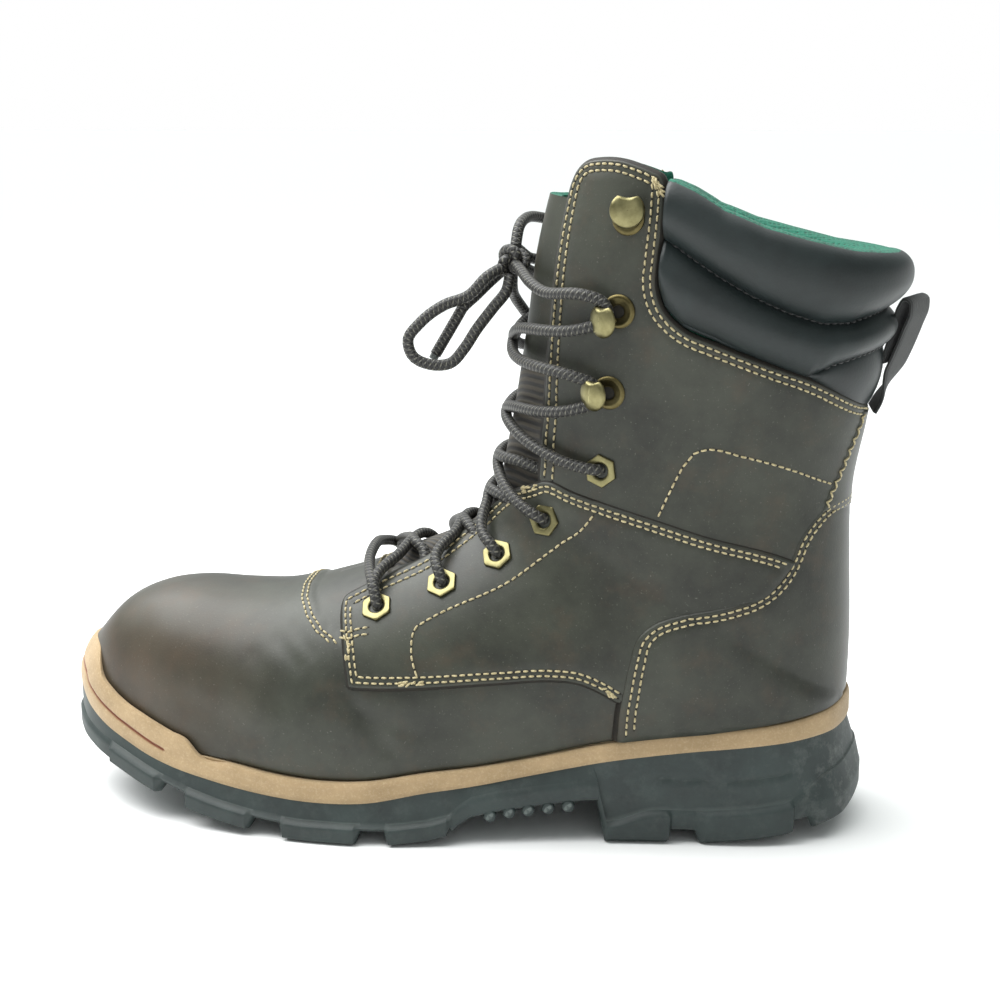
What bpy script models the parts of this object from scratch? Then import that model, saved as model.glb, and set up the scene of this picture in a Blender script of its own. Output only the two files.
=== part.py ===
"""Work hiking boot for the left foot, in separate pieces.

Metres, +Z up. The boot stands on z = 0 with its toe at -X and the outer side of the foot at -Y.
Sizes and tables are in millimetres, from a point on the long axis of the sole. metres() turns them
into metres from the middle of the boot's box.
"""
import math
from collections import namedtuple

import bmesh
import bpy
import numpy as np

MM = 0.001
OUTER = -1
INNER = 1

# Driving sizes
SOLE_LENGTH = 311.5
TOE_X = -157.0
BALL_HALF_WIDTH = 58.0
SHAFT_TOP = 250.0
CLEAR = 0.35
LASTING_GAP = 0.7
WALL = 2.2
PANEL = 1.2
INSOLE = 4.0
TONGUE = 4.5
LACE = 4.2
HEEL_HEIGHT = 11.0
LUG_DEPTH = 5.0
LUG_PANEL = 6.0
LUG_RAISE = 1.8
LUG_BEVEL = 0.6
HEEL_BEVEL = 2.2
STEP_IN = 1.2
STEP_UP = 1.6
LUG_SLOPE = 2.0
# Middle of the boot's box along and across, without the bow
BOX_MIDDLE = (6.07, -3.38, 0.0)

# Sole outline: distance from the toe, then reach of the outer and inner edges from the long axis
Outline = namedtuple("Outline", "along outer inner")
OUTLINE = (
    Outline(0, -5, 5),
    Outline(3, 6, 16),
    Outline(10, 17.5, 26.5),
    Outline(18, 25.5, 33),
    Outline(28, 32, 38.5),
    Outline(43, 40.5, 43.5),
    Outline(63, 48, 47.5),
    Outline(83, 53, 49.5),
    Outline(108, 57, 50),
    Outline(130, BALL_HALF_WIDTH, 48.5),
    Outline(158, 54.5, 42),
    Outline(188, 49, 36.5),
    Outline(218, 45, 36),
    Outline(248, 43, 39.5),
    Outline(273, 41.5, 41),
    Outline(291, 36, 36.5),
    Outline(304, 24, 24.5),
    Outline(309.5, 11, 11.5),
    Outline(SOLE_LENGTH, 0, 0),
)

# How far each layer of the sole is set in from the outline at the toe, heel and sides
Ring = namedtuple("Ring", "toe heel side")
JOINT_RING = Ring(1.0, 4.0, 3.0)
SWELL_RING = Ring(0.4, 3.2, 2.0)
RIM_RING = Ring(3.4, 5.6, 4.6)
TRAY_RING = Ring(3.1, 5.3, 4.3)
FEATHER_RING = Ring(4.0, 6.0, 5.2)
INSOLE_RING = Ring(8.0, 10.0, 9.0)

# Heights along the sole: outsole top, the seat that the upper stands on, and the rim round it
Height = namedtuple("Height", "x joint seat rim")
HEIGHTS = (
    Height(-158, 33.5, 40.0, 47.0),
    Height(-150, 33.5, 39.8, 48.5),
    Height(-140, 33.2, 38.8, 50.0),
    Height(-130, 30.8, 36.2, 47.6),
    Height(-118, 27.3, 32.4, 42.0),
    Height(-106, 24.2, 29.2, 37.6),
    Height(-97, 22.2, 28.2, 34.6),
    Height(-93, 21.4, 28.2, 29.6),
    Height(-80, 19.6, 27.0, 27.4),
    Height(-65, 17.5, 24.8, 25.2),
    Height(-48, 16.3, 23.4, 23.8),
    Height(-28, 16.8, 23.9, 24.3),
    Height(-8, 18.6, 25.9, 26.3),
    Height(14, 21.7, 28.4, 28.8),
    Height(36, 26.4, 32.2, 32.6),
    Height(58, 31.0, 36.8, 37.2),
    Height(80, 33.9, 40.3, 40.7),
    Height(102, 36.5, 43.1, 43.5),
    Height(123, 40.0, 46.3, 46.7),
    Height(140, 42.6, 49.1, 49.5),
    Height(157, 45.0, 52.0, 52.6),
)

# Walking surface from toe to heel, with the waist and the breast of the heel
Tread = namedtuple("Tread", "x z")
TREADS = (
    Tread(-158, 25.5),
    Tread(-150, 22.0),
    Tread(-131, 16.2),
    Tread(-111, 10.0),
    Tread(-98, 6.4),
    Tread(-85, 3.6),
    Tread(-73, 1.7),
    Tread(-60, 0.4),
    Tread(-52, 0.0),
    Tread(-18, 0.0),
    Tread(-5, 1.4),
    Tread(3, 3.5),
    Tread(6, 7.0),
    Tread(11, 10.3),
    Tread(22, 12.4),
    Tread(36, 14.2),
    Tread(52, 16.1),
    Tread(57.5, 16.1),
    Tread(60.5, 0.0),
    Tread(98, 0.0),
    Tread(116, 1.6),
    Tread(128, 3.2),
    Tread(138, 4.6),
    Tread(147, 5.8),
    Tread(152, 8.2),
    Tread(155, 11.0),
)

# Lugs along the edges; the waist between the fourth and the fifth has no raised panel
Lug = namedtuple("Lug", "front back raised")
LUGS = (
    Lug(-170, -111, 1),
    Lug(-99, -73, 1),
    Lug(-60, -31, 1),
    Lug(-20, 3, 1),
    Lug(3, 59, 0),
    Lug(59, 84, 1),
    Lug(95, 129, 1),
    Lug(137, 170, 1),
)
# Columns across the sole, as shares of the half width, with a groove along each side
TREAD_COLUMNS = (-1, -0.60, -0.55, -0.46, -0.41, 0.41, 0.46, 0.55, 0.60, 1)
SIDE_GROOVE = (0.43, 0.58)
GROOVE_ENDS = ((-128, 0), (64, 132))
SOLE_BASE_STATIONS = 27
# Where the toe bumper steps down to the strip
BUMPER_STEP = (-97.5, -93.0)

# Sections of the upper, each from the ridge or front line to the seat or the back line.
# outer and inner are half widths, widest is where they are reached, gap is half the throat.
Section = namedtuple("Section", "ridge_x ridge_z base_x base_z outer inner widest crown foot gap mid")
ON_SEAT = None
SECTIONS = (
    Section(-153, 41.0, -153, ON_SEAT, 0, 0, 0.85, 2.3, 2, 0, 4.5),
    Section(-151, 54.5, -151.5, ON_SEAT, 0, 0, 0.85, 2.3, 2, 0, 4.3),
    Section(-145, 63.8, -146.5, ON_SEAT, 0, 0, 0.85, 2.3, 2, 0, 4.0),
    Section(-134, 75.2, -136, ON_SEAT, 0, 0, 0.85, 2.35, 2, 0, 3.4),
    Section(-120, 81.8, -122, ON_SEAT, 0, 0, 0.85, 2.4, 2, 0, 2.6),
    Section(-104, 84.2, -105, ON_SEAT, 0, 0, 0.85, 2.4, 2, 0, 1.6),
    Section(-86, 83.8, -86, ON_SEAT, 0, 0, 0.82, 2.3, 2, 0, 0.8),
    Section(-68, 84.6, -66, ON_SEAT, 51.5, 46.5, 0.80, 2.2, 2, 0, 0),
    Section(-50, 89.6, -44, ON_SEAT, 53.5, 47, 0.80, 2.1, 2, 0, 0),
    Section(-31, 95.6, -18, ON_SEAT, 53.5, 45, 0.78, 2.0, 2, 13, 0),
    Section(-13, 102.0, 12, ON_SEAT, 51, 42.5, 0.74, 2.0, 2, 14.5, 0),
    Section(2, 108.5, 47, ON_SEAT, 48, 41.5, 0.70, 2.0, 2, 16, 0),
    Section(10, 114.5, 86, ON_SEAT, 45.5, 41.5, 0.66, 2.0, 2, 17.5, 0),
    Section(14, 120.5, 118, ON_SEAT, 44, 41.5, 0.62, 2.05, 2.1, 19, 0),
    Section(16, 126.0, 138, ON_SEAT, 43, 41.2, 0.58, 2.1, 2.2, 20.5, 0),
    Section(17.3, 130.5, 146.5, ON_SEAT, 42.5, 41, 0.56, 2.1, 2.2, 21.5, 0),
    Section(18.1, 134.0, 148.5, ON_SEAT, 42.2, 41, 0.55, 2.1, 2.2, 22.5, 0),
    Section(19.0, 138.5, 149.0, 72, 42, 40.8, 0.54, 2.1, 2.2, 23, 0),
    Section(20, 144.0, 147.8, 103, 41.5, 40.5, 0.53, 2.15, 2.2, 23.5, 0),
    Section(21.3, 151.0, 147.4, 130, 41.5, 40.8, 0.52, 2.2, 2.2, 23.5, 0),
    Section(22.8, 159.0, 151.5, 155, 42.5, 42, 0.52, 2.2, 2.25, 23.5, 0),
    Section(25.2, 175, 154.0, 175, 44, 43.5, 0.52, 2.2, 2.3, 23, 0),
    Section(28, 195, 156.0, 195, 45.5, 45, 0.52, 2.2, 2.3, 22.5, 0),
    Section(30.5, 215, 158.5, 215, 46.5, 46, 0.52, 2.2, 2.3, 22.5, 0),
    Section(35, 235, 161.0, 235, 47, 46.5, 0.52, 2.2, 2.3, 22, 0),
    Section(41, 256, 163.0, 256, 47, 47, 0.52, 2.2, 2.3, 22, 0),
)
HEEL_ROW = 16
TOP_ROW = len(SECTIONS) - 1
THROAT_START = 8.2
HALF_STEPS = (6, 7, 8, 9, 10, 11, 12, 16, 17, 18, 19)
SIDE_STEPS = 9

# Top line of the eyestay, then the seam of the collar from the front to the back
Place = namedtuple("Place", "x z")
PAST_BOOT = Place(230, 320)
PAST_SIDE = 120
EYESTAY_TOP = (
    Place(15, 232),
    Place(43, 238.5),
    Place(46, 245),
    Place(50, 248.8),
    Place(56, SHAFT_TOP),
    Place(62, 249.9),
    Place(70, 247.6),
    Place(77, 244.8),
)
COLLAR_SEAM = (
    Place(78.5, 243.5),
    Place(77.3, 236),
    Place(74.7, 215.6),
    Place(74.0, 206),
    Place(76.8, 198.4),
    Place(83.8, 192.3),
    Place(97.7, 186.6),
    Place(115, 179.9),
    Place(132.3, 173.2),
    Place(151.7, 161.3),
    Place(172, 149),
)

# Height of the collar's top line along the boot
COLLAR_TOP = (
    Place(70, 244),
    Place(79, 242.6),
    Place(86, 239.6),
    Place(96, 233.8),
    Place(110, 227.6),
    Place(124, 223.6),
    Place(140, 219.4),
    Place(156, 217.2),
    Place(175, 217),
)
# Share of the collar's height at its upper crease, and where and how high the lower crease rises
UPPER_CREASE = (0.52, 0.59)
LOWER_CREASE_X = (129, 156)
LOWER_CREASE_SHARE = (0.08, 0.33)
COLLAR_STEPS = 11
COLLAR_LEVELS = (160, 190, 206, 220, 234, 248)
COLLAR_PAD = 10.0
COLLAR_GAP = 0.9
# How far the collar's rolls and creases stand out of the wall, at its front and at the back
Rolls = namedtuple("Rolls", "seam low_roll low_crease mid_roll crease top_roll")
ROLLS_FRONT = Rolls(0.3, 1.6, 1.8, 4.2, 1.2, 5.6)
ROLLS_BACK = Rolls(0.3, 3.6, 2.6, 6.2, 3.0, 9.6)

# Side outlines of the leather panels that lie on the upper
COUNTER_EDGE = (
    Place(62.4, 46),
    Place(64.6, 59.5),
    Place(66.6, 69.3),
    Place(70, 79.7),
    Place(76.4, 85.4),
    Place(85.7, 88.9),
    Place(103.9, 92.9),
    Place(112.8, 95.9),
    Place(119.8, 101.5),
    Place(123.6, 107.7),
    Place(126.9, 115.9),
    Place(132.2, 123),
    Place(138.8, 128.3),
    Place(146, 129),
)
COUNTER_BACK = 175
COUNTER_STATIONS = (175, 150, 140, 123, 102, 80, 62)
QUARTER_FRONT = (
    Place(-42, 100),
    Place(-41.1, 85.2),
    Place(-39.4, 75.4),
    Place(-35.2, 59),
    Place(-32, 57.2),
    Place(-10.6, 58),
    Place(21.3, 60.7),
    Place(39.8, 62.1),
    Place(49, 61.4),
    Place(57, 58.2),
    Place(62.6, 54.6),
)
QUARTER_TOP = (
    Place(122, 109.8),
    Place(92.5, 118.5),
    Place(77.4, 123.2),
    Place(57, 128.9),
    Place(39.7, 132.1),
    Place(30, 133),
    Place(-2, 133),
)
BACKSTAY = (
    Place(148.6, 162.2),
    Place(147, 157),
    Place(138, 130),
    Place(146, 129.8),
    Place(175, 129.8),
    Place(175, 146.2),
    Place(151.7, 160.4),
)
PANEL_GAP = 0.6

# Eyelets from the toe up, then the speed hooks, as places on both sides of the upper
EYELETS = (
    Place(-26.0, 83.5),
    Place(-1.8, 92.7),
    Place(18.8, 103.6),
    Place(36.8, 118.7),
    Place(56.9, 139.6),
)
HOOKS = (Place(59.5, 168.2), Place(62.7, 197.2), Place(65.6, 229.4))
EYELETS_ON_QUARTER = 4
EYELET_CORNER = 5.3
EYELET_HOLE = 2.5
EYELET_THICK = 1.4
# Side view of a speed hook: towards the throat, and out from the leather
HookPoint = namedtuple("HookPoint", "ahead out")
HOOK_PROFILE = (
    HookPoint(-7.0, 0.0),
    HookPoint(5.0, 0.0),
    HookPoint(5.8, 1.0),
    HookPoint(6.4, 5.6),
    HookPoint(5.6, 6.6),
    HookPoint(-4.6, 6.9),
    HookPoint(-5.2, 5.9),
    HookPoint(4.4, 5.3),
    HookPoint(4.0, 1.2),
    HookPoint(-7.0, 1.2),
)
HOOK_HALF_WIDTH = 5.4

# Tongue: rows of the upper that it spans, and half widths at its root and top
TONGUE_ROWS = (7.3, 24.05)
TONGUE_STEPS = 13
TONGUE_HALF = (20.0, 33.0)
TONGUE_ACROSS = (-1, -0.8, -0.6, -0.38, -0.15, 0.15, 0.38, 0.6, 0.8, 1)
TONGUE_TUCK = 4.2
TONGUE_BULGE = -0.8
TONGUE_UNDER_VAMP = 5.6
THROAT_SHOWS = 12.0

# Pull loop: middle line of the webbing in the side view, up the back and down against the collar
PULL_LOOP = (
    Place(155.0, 157.6),
    Place(157.6, 162.6),
    Place(161.4, 171.0),
    Place(165.2, 180.0),
    Place(168.2, 188.4),
    Place(170.2, 195.0),
    Place(169.8, 198.4),
    Place(167.8, 199.2),
    Place(166.0, 196.6),
    Place(164.4, 189.6),
    Place(162.2, 181.6),
    Place(160.8, 176.0),
)
WEBBING_WIDTH = 22.0
WEBBING_THICK = 1.5

# Routes over the throat: row of the upper, distance across, height above the surface
Over = namedtuple("Over", "row y lift")
KNOT = Over(22.75, -3.0, 9.0)
KNOT_HALF_SIZES = (6.0, 6.8, 6.0)
KNOT_GAP = 0.2
TIE_END_GAP = 11.0
CROSS_STEPS = 5
CROSS_CUT = 0.145
TIE_CUT = 0.06
BAR_AHEAD = 0.2
CROSS_LIFT = (3.9, 6.0)
INNER_LOOP = (
    Over(23.3, 4, 9.8),
    Over(23.45, 11, 10.0),
    Over(23.45, 19, 10.0),
    Over(23.3, 27, 9.5),
    Over(23.0, 30.5, 9.5),
    Over(22.75, 27, 10.0),
    Over(22.7, 19, 10.5),
    Over(22.9, 12, 12.5),
)
INNER_END = (
    Over(22.3, 4, 9.2),
    Over(22.05, 10, 10.0),
    Over(21.75, 17, 10.2),
    Over(21.4, 23, 10.2),
    Over(20.95, 27, 10.0),
)
INNER_TIP = Over(20.1, 31, 10.0)
# The loop and the end that hang free in front of the tongue
Free = namedtuple("Free", "x y z")
OUTER_LOOP = (
    Free(12.5, -12, 206.2),
    Free(5.3, -13, 199.0),
    Free(-3.4, -15, 195.7),
    Free(-12.1, -17, 189.2),
    Free(-16.5, -18, 183.0),
    Free(-15.0, -18.5, 177.5),
    Free(-7.2, -18.5, 173.9),
    Free(-0.5, -18, 174.7),
    Free(4.2, -17, 179.8),
    Free(8.8, -15, 187.0),
    Free(14.5, -12.0, 194.6),
    Free(19.3, -9.8, 201.0),
)
OUTER_END = (
    Free(13.4, -2.5, 204.5),
    Free(7.4, -7.5, 198.6),
    Free(2.6, -10.9, 193.8),
    Free(1.4, -11.2, 191.6),
)
OUTER_TIP = Free(-8.1, -12.5, 175.3)
TIP_THICK = 3.4


def metres(point):
    return (np.asarray(point, float) - BOX_MIDDLE) * MM


def column(table, name):
    return np.array([getattr(row, name) for row in table], float)


def curve_through(xs, ys):
    """Reader of the smooth curve through the points xs, ys, with xs rising."""
    slopes = np.gradient(ys, xs, axis=0)

    def read(x):
        i = min(max(int(np.searchsorted(xs, x)) - 1, 0), len(xs) - 2)
        run = xs[i + 1] - xs[i]
        f = min(max((x - xs[i]) / run, 0.0), 1.0)
        start = (1 + 2 * f) * (1 - f) ** 2 * ys[i] + f * (1 - f) ** 2 * run * slopes[i]
        return start + f * f * (3 - 2 * f) * ys[i + 1] + f * f * (f - 1) * run * slopes[i + 1]

    return read


def smooth_line(points, steps):
    """Smooth open line through points, with steps between each two of them."""
    points = np.asarray(points, float)
    read = curve_through(np.arange(len(points), dtype=float), points)
    return [read(x) for x in np.linspace(0, len(points) - 1, (len(points) - 1) * steps + 1)]


# Sole

OUTLINE_TURN = np.arccos(1 - 2 * column(OUTLINE, "along") / SOLE_LENGTH) / math.pi
OUTLINE_REACH = {
    OUTER: curve_through(OUTLINE_TURN, column(OUTLINE, "outer")),
    INNER: curve_through(OUTLINE_TURN, column(OUTLINE, "inner")),
}
HEIGHT_AT = {name: curve_through(column(HEIGHTS, "x"), column(HEIGHTS, name)) for name in Height._fields[1:]}


def edge(t, side, ring):
    """Point x, y of the sole's outline set in by ring; t runs from the toe, 0, to the heel, 1."""
    length = SOLE_LENGTH - ring.toe - ring.heel
    x = TOE_X + ring.toe + (1 - math.cos(math.pi * t)) / 2 * length
    return x, side * OUTLINE_REACH[side](t) * (1 - ring.side / BALL_HALF_WIDTH)


def edge_turn(x, ring):
    """The t at which edge() stands at x."""
    length = SOLE_LENGTH - ring.toe - ring.heel
    share = min(max((x - TOE_X - ring.toe) / length, 0.0), 1.0)
    return math.acos(1 - 2 * share) / math.pi


def height(name, x):
    return HEIGHT_AT[name](x)


def tread(x):
    return np.interp(x, column(TREADS, "x"), column(TREADS, "z"))


def on_lug(x, raised_only):
    """1 on a lug, 0 in the groove between two, with a slope at each end."""
    share = 0.0
    for lug in LUGS:
        if raised_only and not lug.raised:
            continue
        nearest_end = min(x - lug.front, lug.back - x)
        share = max(share, float(np.clip(nearest_end / LUG_SLOPE + 0.5, 0.0, 1.0)))
    return share


def lug_panel(x):
    """Height of the raised panel on the side of a lug, taller round the heel."""
    tall = np.interp(x, (50, 62), (LUG_PANEL, HEEL_HEIGHT))
    return min(tall, 0.6 * (height("joint", x) - tread(x)))


def tread_depth(x, share):
    """How far the sole's underside is above the tread, at a share of the half width."""
    in_side_groove = SIDE_GROOVE[0] < abs(share) < SIDE_GROOVE[1]
    grooved = any(front < x < back for front, back in GROOVE_ENDS)
    if in_side_groove and grooved:
        return LUG_DEPTH
    return LUG_DEPTH * (1 - on_lug(x, False))


def ring_point(t, side, ring, level):
    """Point of a ring of the sole, at the height that level gives for its place along the sole."""
    x, y = edge(t, side, ring)
    return x, y, level(x)


def outsole_top(x):
    return height("joint", x) - CLEAR


def seat_level(x):
    return height("seat", x)


def rim_level(x):
    return height("rim", x)


def strip_level(share):
    """Height at a share of the way up the midsole's outer strip."""
    return lambda x: height("joint", x) + share * (height("rim", x) - height("joint", x))


def outsole_stations():
    """Places along the sole: both ends of each lug's slope, each tread mark, and an even spread."""
    toe, heel = TOE_X, TOE_X + SOLE_LENGTH
    marks = [row.x for row in TREADS if 0 < row.x < 62]
    for lug in LUGS:
        for end in (lug.front, lug.back):
            marks += [end - LUG_SLOPE / 2, end + LUG_SLOPE / 2]
    for ends in GROOVE_ENDS:
        marks += [ends[0] - 1, ends[0] + 1, ends[1] - 1, ends[1] + 1]
    stations = []
    for mark in sorted(marks):
        if toe + 8 < mark < heel - 8 and (not stations or mark - stations[-1] > 0.9):
            stations.append(mark)
    for t in np.linspace(0, 1, SOLE_BASE_STATIONS):
        x = edge(t, OUTER, Ring(0, 0, 0))[0]
        if min(abs(x - mark) for mark in stations) > 3.5:
            stations.append(x)
    return sorted(stations)


def outsole_mesh():
    whole = Ring(0, 0, 0)
    rows = []
    for x in outsole_stations():
        t = edge_turn(x, whole)
        low = tread(x)
        raised = LUG_RAISE * on_lug(x, True)
        bottom = low + tread_depth(x, 1.0)
        bevel = np.interp(x, (50, 62), (LUG_BEVEL, HEEL_BEVEL))
        panel_top = max(low + lug_panel(x), bottom + 2 * bevel)
        step = min(panel_top + STEP_UP, (panel_top + outsole_top(x)) / 2)
        section = {}
        for side in (OUTER, INNER):
            levels = ((-STEP_IN, bottom), (raised, bottom + bevel), (raised, panel_top), (-STEP_IN, step))
            wall = [(*edge(t, side, Ring(-out, -out, -out)), z) for out, z in levels]
            wall.append(ring_point(t, side, JOINT_RING, outsole_top))
            section[side] = wall
        outer, inner = np.array(section[OUTER][0]), np.array(section[INNER][0])
        under = []
        for share in TREAD_COLUMNS:
            point = outer + (inner - outer) * (share + 1) / 2
            under.append((point[0], point[1], low + tread_depth(x, share)))
        rows.append(section[OUTER][::-1] + under[1:-1] + section[INNER])
    return loft(rows, wrap=True)


def midsole_mesh():
    marks = [edge_turn(x, JOINT_RING) for x in BUMPER_STEP]
    turns = [t for t in np.linspace(0, 1, SOLE_BASE_STATIONS + 5) if min(abs(t - mark) for mark in marks) > 0.01]
    rows = []
    for t in sorted(turns + marks):
        section = {}
        for side in (OUTER, INNER):
            section[side] = [
                ring_point(t, side, JOINT_RING, strip_level(0.0)),
                ring_point(t, side, SWELL_RING, strip_level(0.3)),
                ring_point(t, side, SWELL_RING, strip_level(0.75)),
                ring_point(t, side, JOINT_RING, rim_level),
                ring_point(t, side, RIM_RING, rim_level),
                ring_point(t, side, TRAY_RING, seat_level),
            ]
        rows.append(section[OUTER] + section[INNER][::-1])
    return loft(rows, wrap=True)


def insole_mesh():
    def under(x):
        return height("seat", x) + CLEAR

    def over(x):
        return height("seat", x) + CLEAR + INSOLE

    rows = []
    for t in np.linspace(0, 1, SOLE_BASE_STATIONS):
        loop = ((OUTER, under), (OUTER, over), (INNER, over), (INNER, under))
        rows.append([ring_point(t, side, INSOLE_RING, level) for side, level in loop])
    return loft(rows, wrap=True)


# Upper


def section_table():
    """The sections as rows of numbers, with the base of the foot's sections on the sole's seat."""
    rows = []
    for row in SECTIONS:
        if row.base_z is ON_SEAT:
            row = row._replace(base_z=height("seat", row.base_x) + LASTING_GAP)
        rows.append(row)
    return np.array(rows, float)


SECTION_AT = curve_through(np.arange(len(SECTIONS), dtype=float), section_table())


def section_at(s):
    """The section at row s, which may lie between two rows of the table."""
    section = Section(*SECTION_AT(s).tolist())
    if s <= HEEL_ROW:
        section = section._replace(base_z=height("seat", section.base_x) + LASTING_GAP)
    if s < THROAT_START:
        section = section._replace(gap=0.0)
    return section


def half_widths(s, section, side):
    """Distance of the widest point, and of the base, from the section's own middle."""
    base = 0.0
    if s < HEEL_ROW:
        base = side * edge(edge_turn(section.base_x, FEATHER_RING), side, FEATHER_RING)[1]
    base = max(base - side * section.mid, 0.0)
    wide = section.outer if side == OUTER else section.inner
    return max(wide - side * section.mid, base), base


def upper_point(s, turn, side):
    """Outer face of the upper; turn runs from the ridge, 0, over the side to the base, pi."""
    section = section_at(s)
    wide, base = half_widths(s, section, side)
    cosine, sine = math.cos(turn), max(math.sin(turn), 0.0)
    if cosine >= 0:
        down = section.widest * (1 - cosine ** (2 / section.crown))
        out = wide * sine ** (2 / section.crown)
    else:
        down = section.widest + (1 - section.widest) * (-cosine) ** (2 / section.foot)
        out = base + (wide - base) * sine ** (2 / section.foot)
    x = section.ridge_x + (section.base_x - section.ridge_x) * down
    z = section.ridge_z + (section.base_z - section.ridge_z) * down
    return np.array((x, section.mid + side * out, z))


def turn_at(s, reach, side):
    """The turn at which the crown of section s stands reach away from its middle."""
    section = section_at(s)
    wide = half_widths(s, section, side)[0]
    return math.asin(min(max(reach / max(wide, 1e-6), 0.0), 1.0) ** (section.crown / 2))


def over_throat(s, y):
    """Point of the closed form over the throat, at y from the middle."""
    side = OUTER if y < 0 else INNER
    return upper_point(s, turn_at(s, abs(y), side), side)


def outward(place, a, b, step_a, step_b):
    """Unit normal of the surface place(a, b), away from the inside of the boot."""
    along = place(a + step_a, b) - place(a - step_a, b)
    across = place(a, b + step_b) - place(a, b - step_b)
    normal = np.cross(along, across)
    section = section_at(a)
    middle = np.array((section.ridge_x + section.base_x, 0.0, section.ridge_z + section.base_z)) / 2
    if normal @ (place(a, b) - middle) < 0:
        normal = -normal
    return normal / np.linalg.norm(normal)


def upper_rows():
    return sorted([*range(TOP_ROW + 1), *(row + 0.5 for row in HALF_STEPS), THROAT_START])


def wall_grid(rows, side):
    """Points of one side of the upper, from its ridge or throat edge down to the base."""
    grid = []
    for s in rows:
        start = turn_at(s, section_at(s).gap, side)
        if s == 0:
            start = math.pi
        turns = np.linspace(start, math.pi, SIDE_STEPS + 1)
        grid.append([upper_point(s, turn, side) for turn in turns])
    return grid


def wall_mesh(rows, sides):
    """Open surface over some rows and one or both sides, with its faces pointing out."""
    mesh = bmesh.new()
    for side in sides:
        grid = wall_grid(rows, side)
        verts = [[mesh.verts.new(metres(point)) for point in line] for line in grid]
        for low, high in zip(verts, verts[1:]):
            for j in range(SIDE_STEPS):
                corners = (low[j], high[j], high[j + 1], low[j + 1])
                mesh.faces.new(corners if side == INNER else corners[::-1])
    bmesh.ops.remove_doubles(mesh, verts=mesh.verts, dist=1e-5)
    return mesh


def topline_outline():
    """Side view of everything above the eyestay's top and behind the collar's seam."""
    line = [(place.x, place.z - CLEAR) for place in EYESTAY_TOP + COLLAR_SEAM]
    first, last = line[0], line[-1]
    return line + [(PAST_BOOT.x, last[1]), PAST_BOOT, (first[0], PAST_BOOT.z)]


def throat_normal(s, y):
    return outward(over_throat, s, y, 0.05, 0.5)


def wall_place(x, z, side):
    """Row and turn of the upper at which its side stands at x, z in the side view."""
    starts = [(s, turn) for s in np.arange(8, 25, 0.5) for turn in np.arange(0.2, 3.0, 0.2)]
    goal = np.array((x, z))

    def miss(s, turn):
        point = upper_point(s, turn, side)
        return point[[0, 2]] - goal

    s, turn = min(starts, key=lambda start: np.linalg.norm(miss(*start)))
    for _ in range(12):
        here = miss(s, turn)
        slope_s = (miss(s + 0.01, turn) - here) / 0.01
        slope_turn = (miss(s, turn + 0.01) - here) / 0.01
        step = np.linalg.lstsq(np.stack([slope_s, slope_turn], axis=1), -here, rcond=None)[0]
        s = float(np.clip(s + np.clip(step[0], -0.4, 0.4), 6.0, TOP_ROW - 0.1))
        turn = float(np.clip(turn + np.clip(step[1], -0.2, 0.2), 0.05, 3.1))
    return s, turn


def seat_frame(place, side, lift):
    """Origin and directions of a fitting on the upper: towards the throat, along it, and out."""
    s, turn = wall_place(place.x, place.z, side)

    def wall(a, b):
        return upper_point(a, b, side)

    out = outward(wall, s, turn, 0.05, 0.02)
    ahead = wall(s, turn - 0.02) - wall(s, turn + 0.02)
    ahead -= out * (ahead @ out)
    ahead /= np.linalg.norm(ahead)
    along = np.cross(out, ahead)
    return wall(s, turn) + out * lift, ahead, along, out


def eyelet_mesh(place, side, lift):
    """Six-sided eyelet, a ring with flat faces."""
    origin, ahead, along, out = seat_frame(place, side, lift)
    rows = []
    for k in range(7):
        angle = math.radians(60 * k)
        radial = ahead * math.cos(angle) + along * math.sin(angle)
        loop = (
            (EYELET_CORNER, 0.0),
            (EYELET_CORNER, EYELET_THICK * 0.6),
            (EYELET_CORNER - 0.8, EYELET_THICK),
            (EYELET_HOLE, EYELET_THICK),
            (EYELET_HOLE, 0.0),
        )
        rows.append([origin + radial * reach + out * up for reach, up in loop])
    return loft(rows, wrap=True)


def hook_mesh(place, side, lift):
    """Speed hook: a plate bent over, open away from the throat."""
    origin, ahead, along, out = seat_frame(place, side, lift)
    rows = []
    for across in (-HOOK_HALF_WIDTH, HOOK_HALF_WIDTH):
        rows.append([origin + ahead * p.ahead + out * p.out + along * across for p in HOOK_PROFILE])
    return loft(rows, wrap=True, caps=True)


def tongue_mesh():
    """Sheet under the eyestays that bulges up into the throat."""
    first, last = TONGUE_ROWS
    faces = {0.0: [], TONGUE: []}
    for s in np.linspace(first, last, TONGUE_STEPS):
        half = np.interp(s, TONGUE_ROWS, TONGUE_HALF)
        gap = section_at(s).gap
        for deep, rows in faces.items():
            row = []
            for share in TONGUE_ACROSS:
                y = share * half
                opened = 0.0
                if gap > THROAT_SHOWS:
                    opened = np.clip(1 - abs(y) / (gap - 1.0), 0.0, 0.7) / 0.7
                tuck = TONGUE_TUCK if gap > THROAT_SHOWS else TONGUE_UNDER_VAMP
                drop = tuck + (TONGUE_BULGE - tuck) * opened
                row.append(over_throat(s, y) - throat_normal(s, y) * (drop + deep))
            rows.append(row)
    rows = [top + under[::-1] for top, under in zip(faces[0.0], faces[TONGUE])]
    return loft(rows, wrap=True, caps=True)


def level_point(z, turn, side):
    """Row of the shaft at which the given turn stands at height z."""
    low, high = 19.0, float(TOP_ROW)
    for _ in range(30):
        middle = (low + high) / 2
        if upper_point(middle, turn, side)[2] < z:
            low = middle
        else:
            high = middle
    return low


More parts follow.
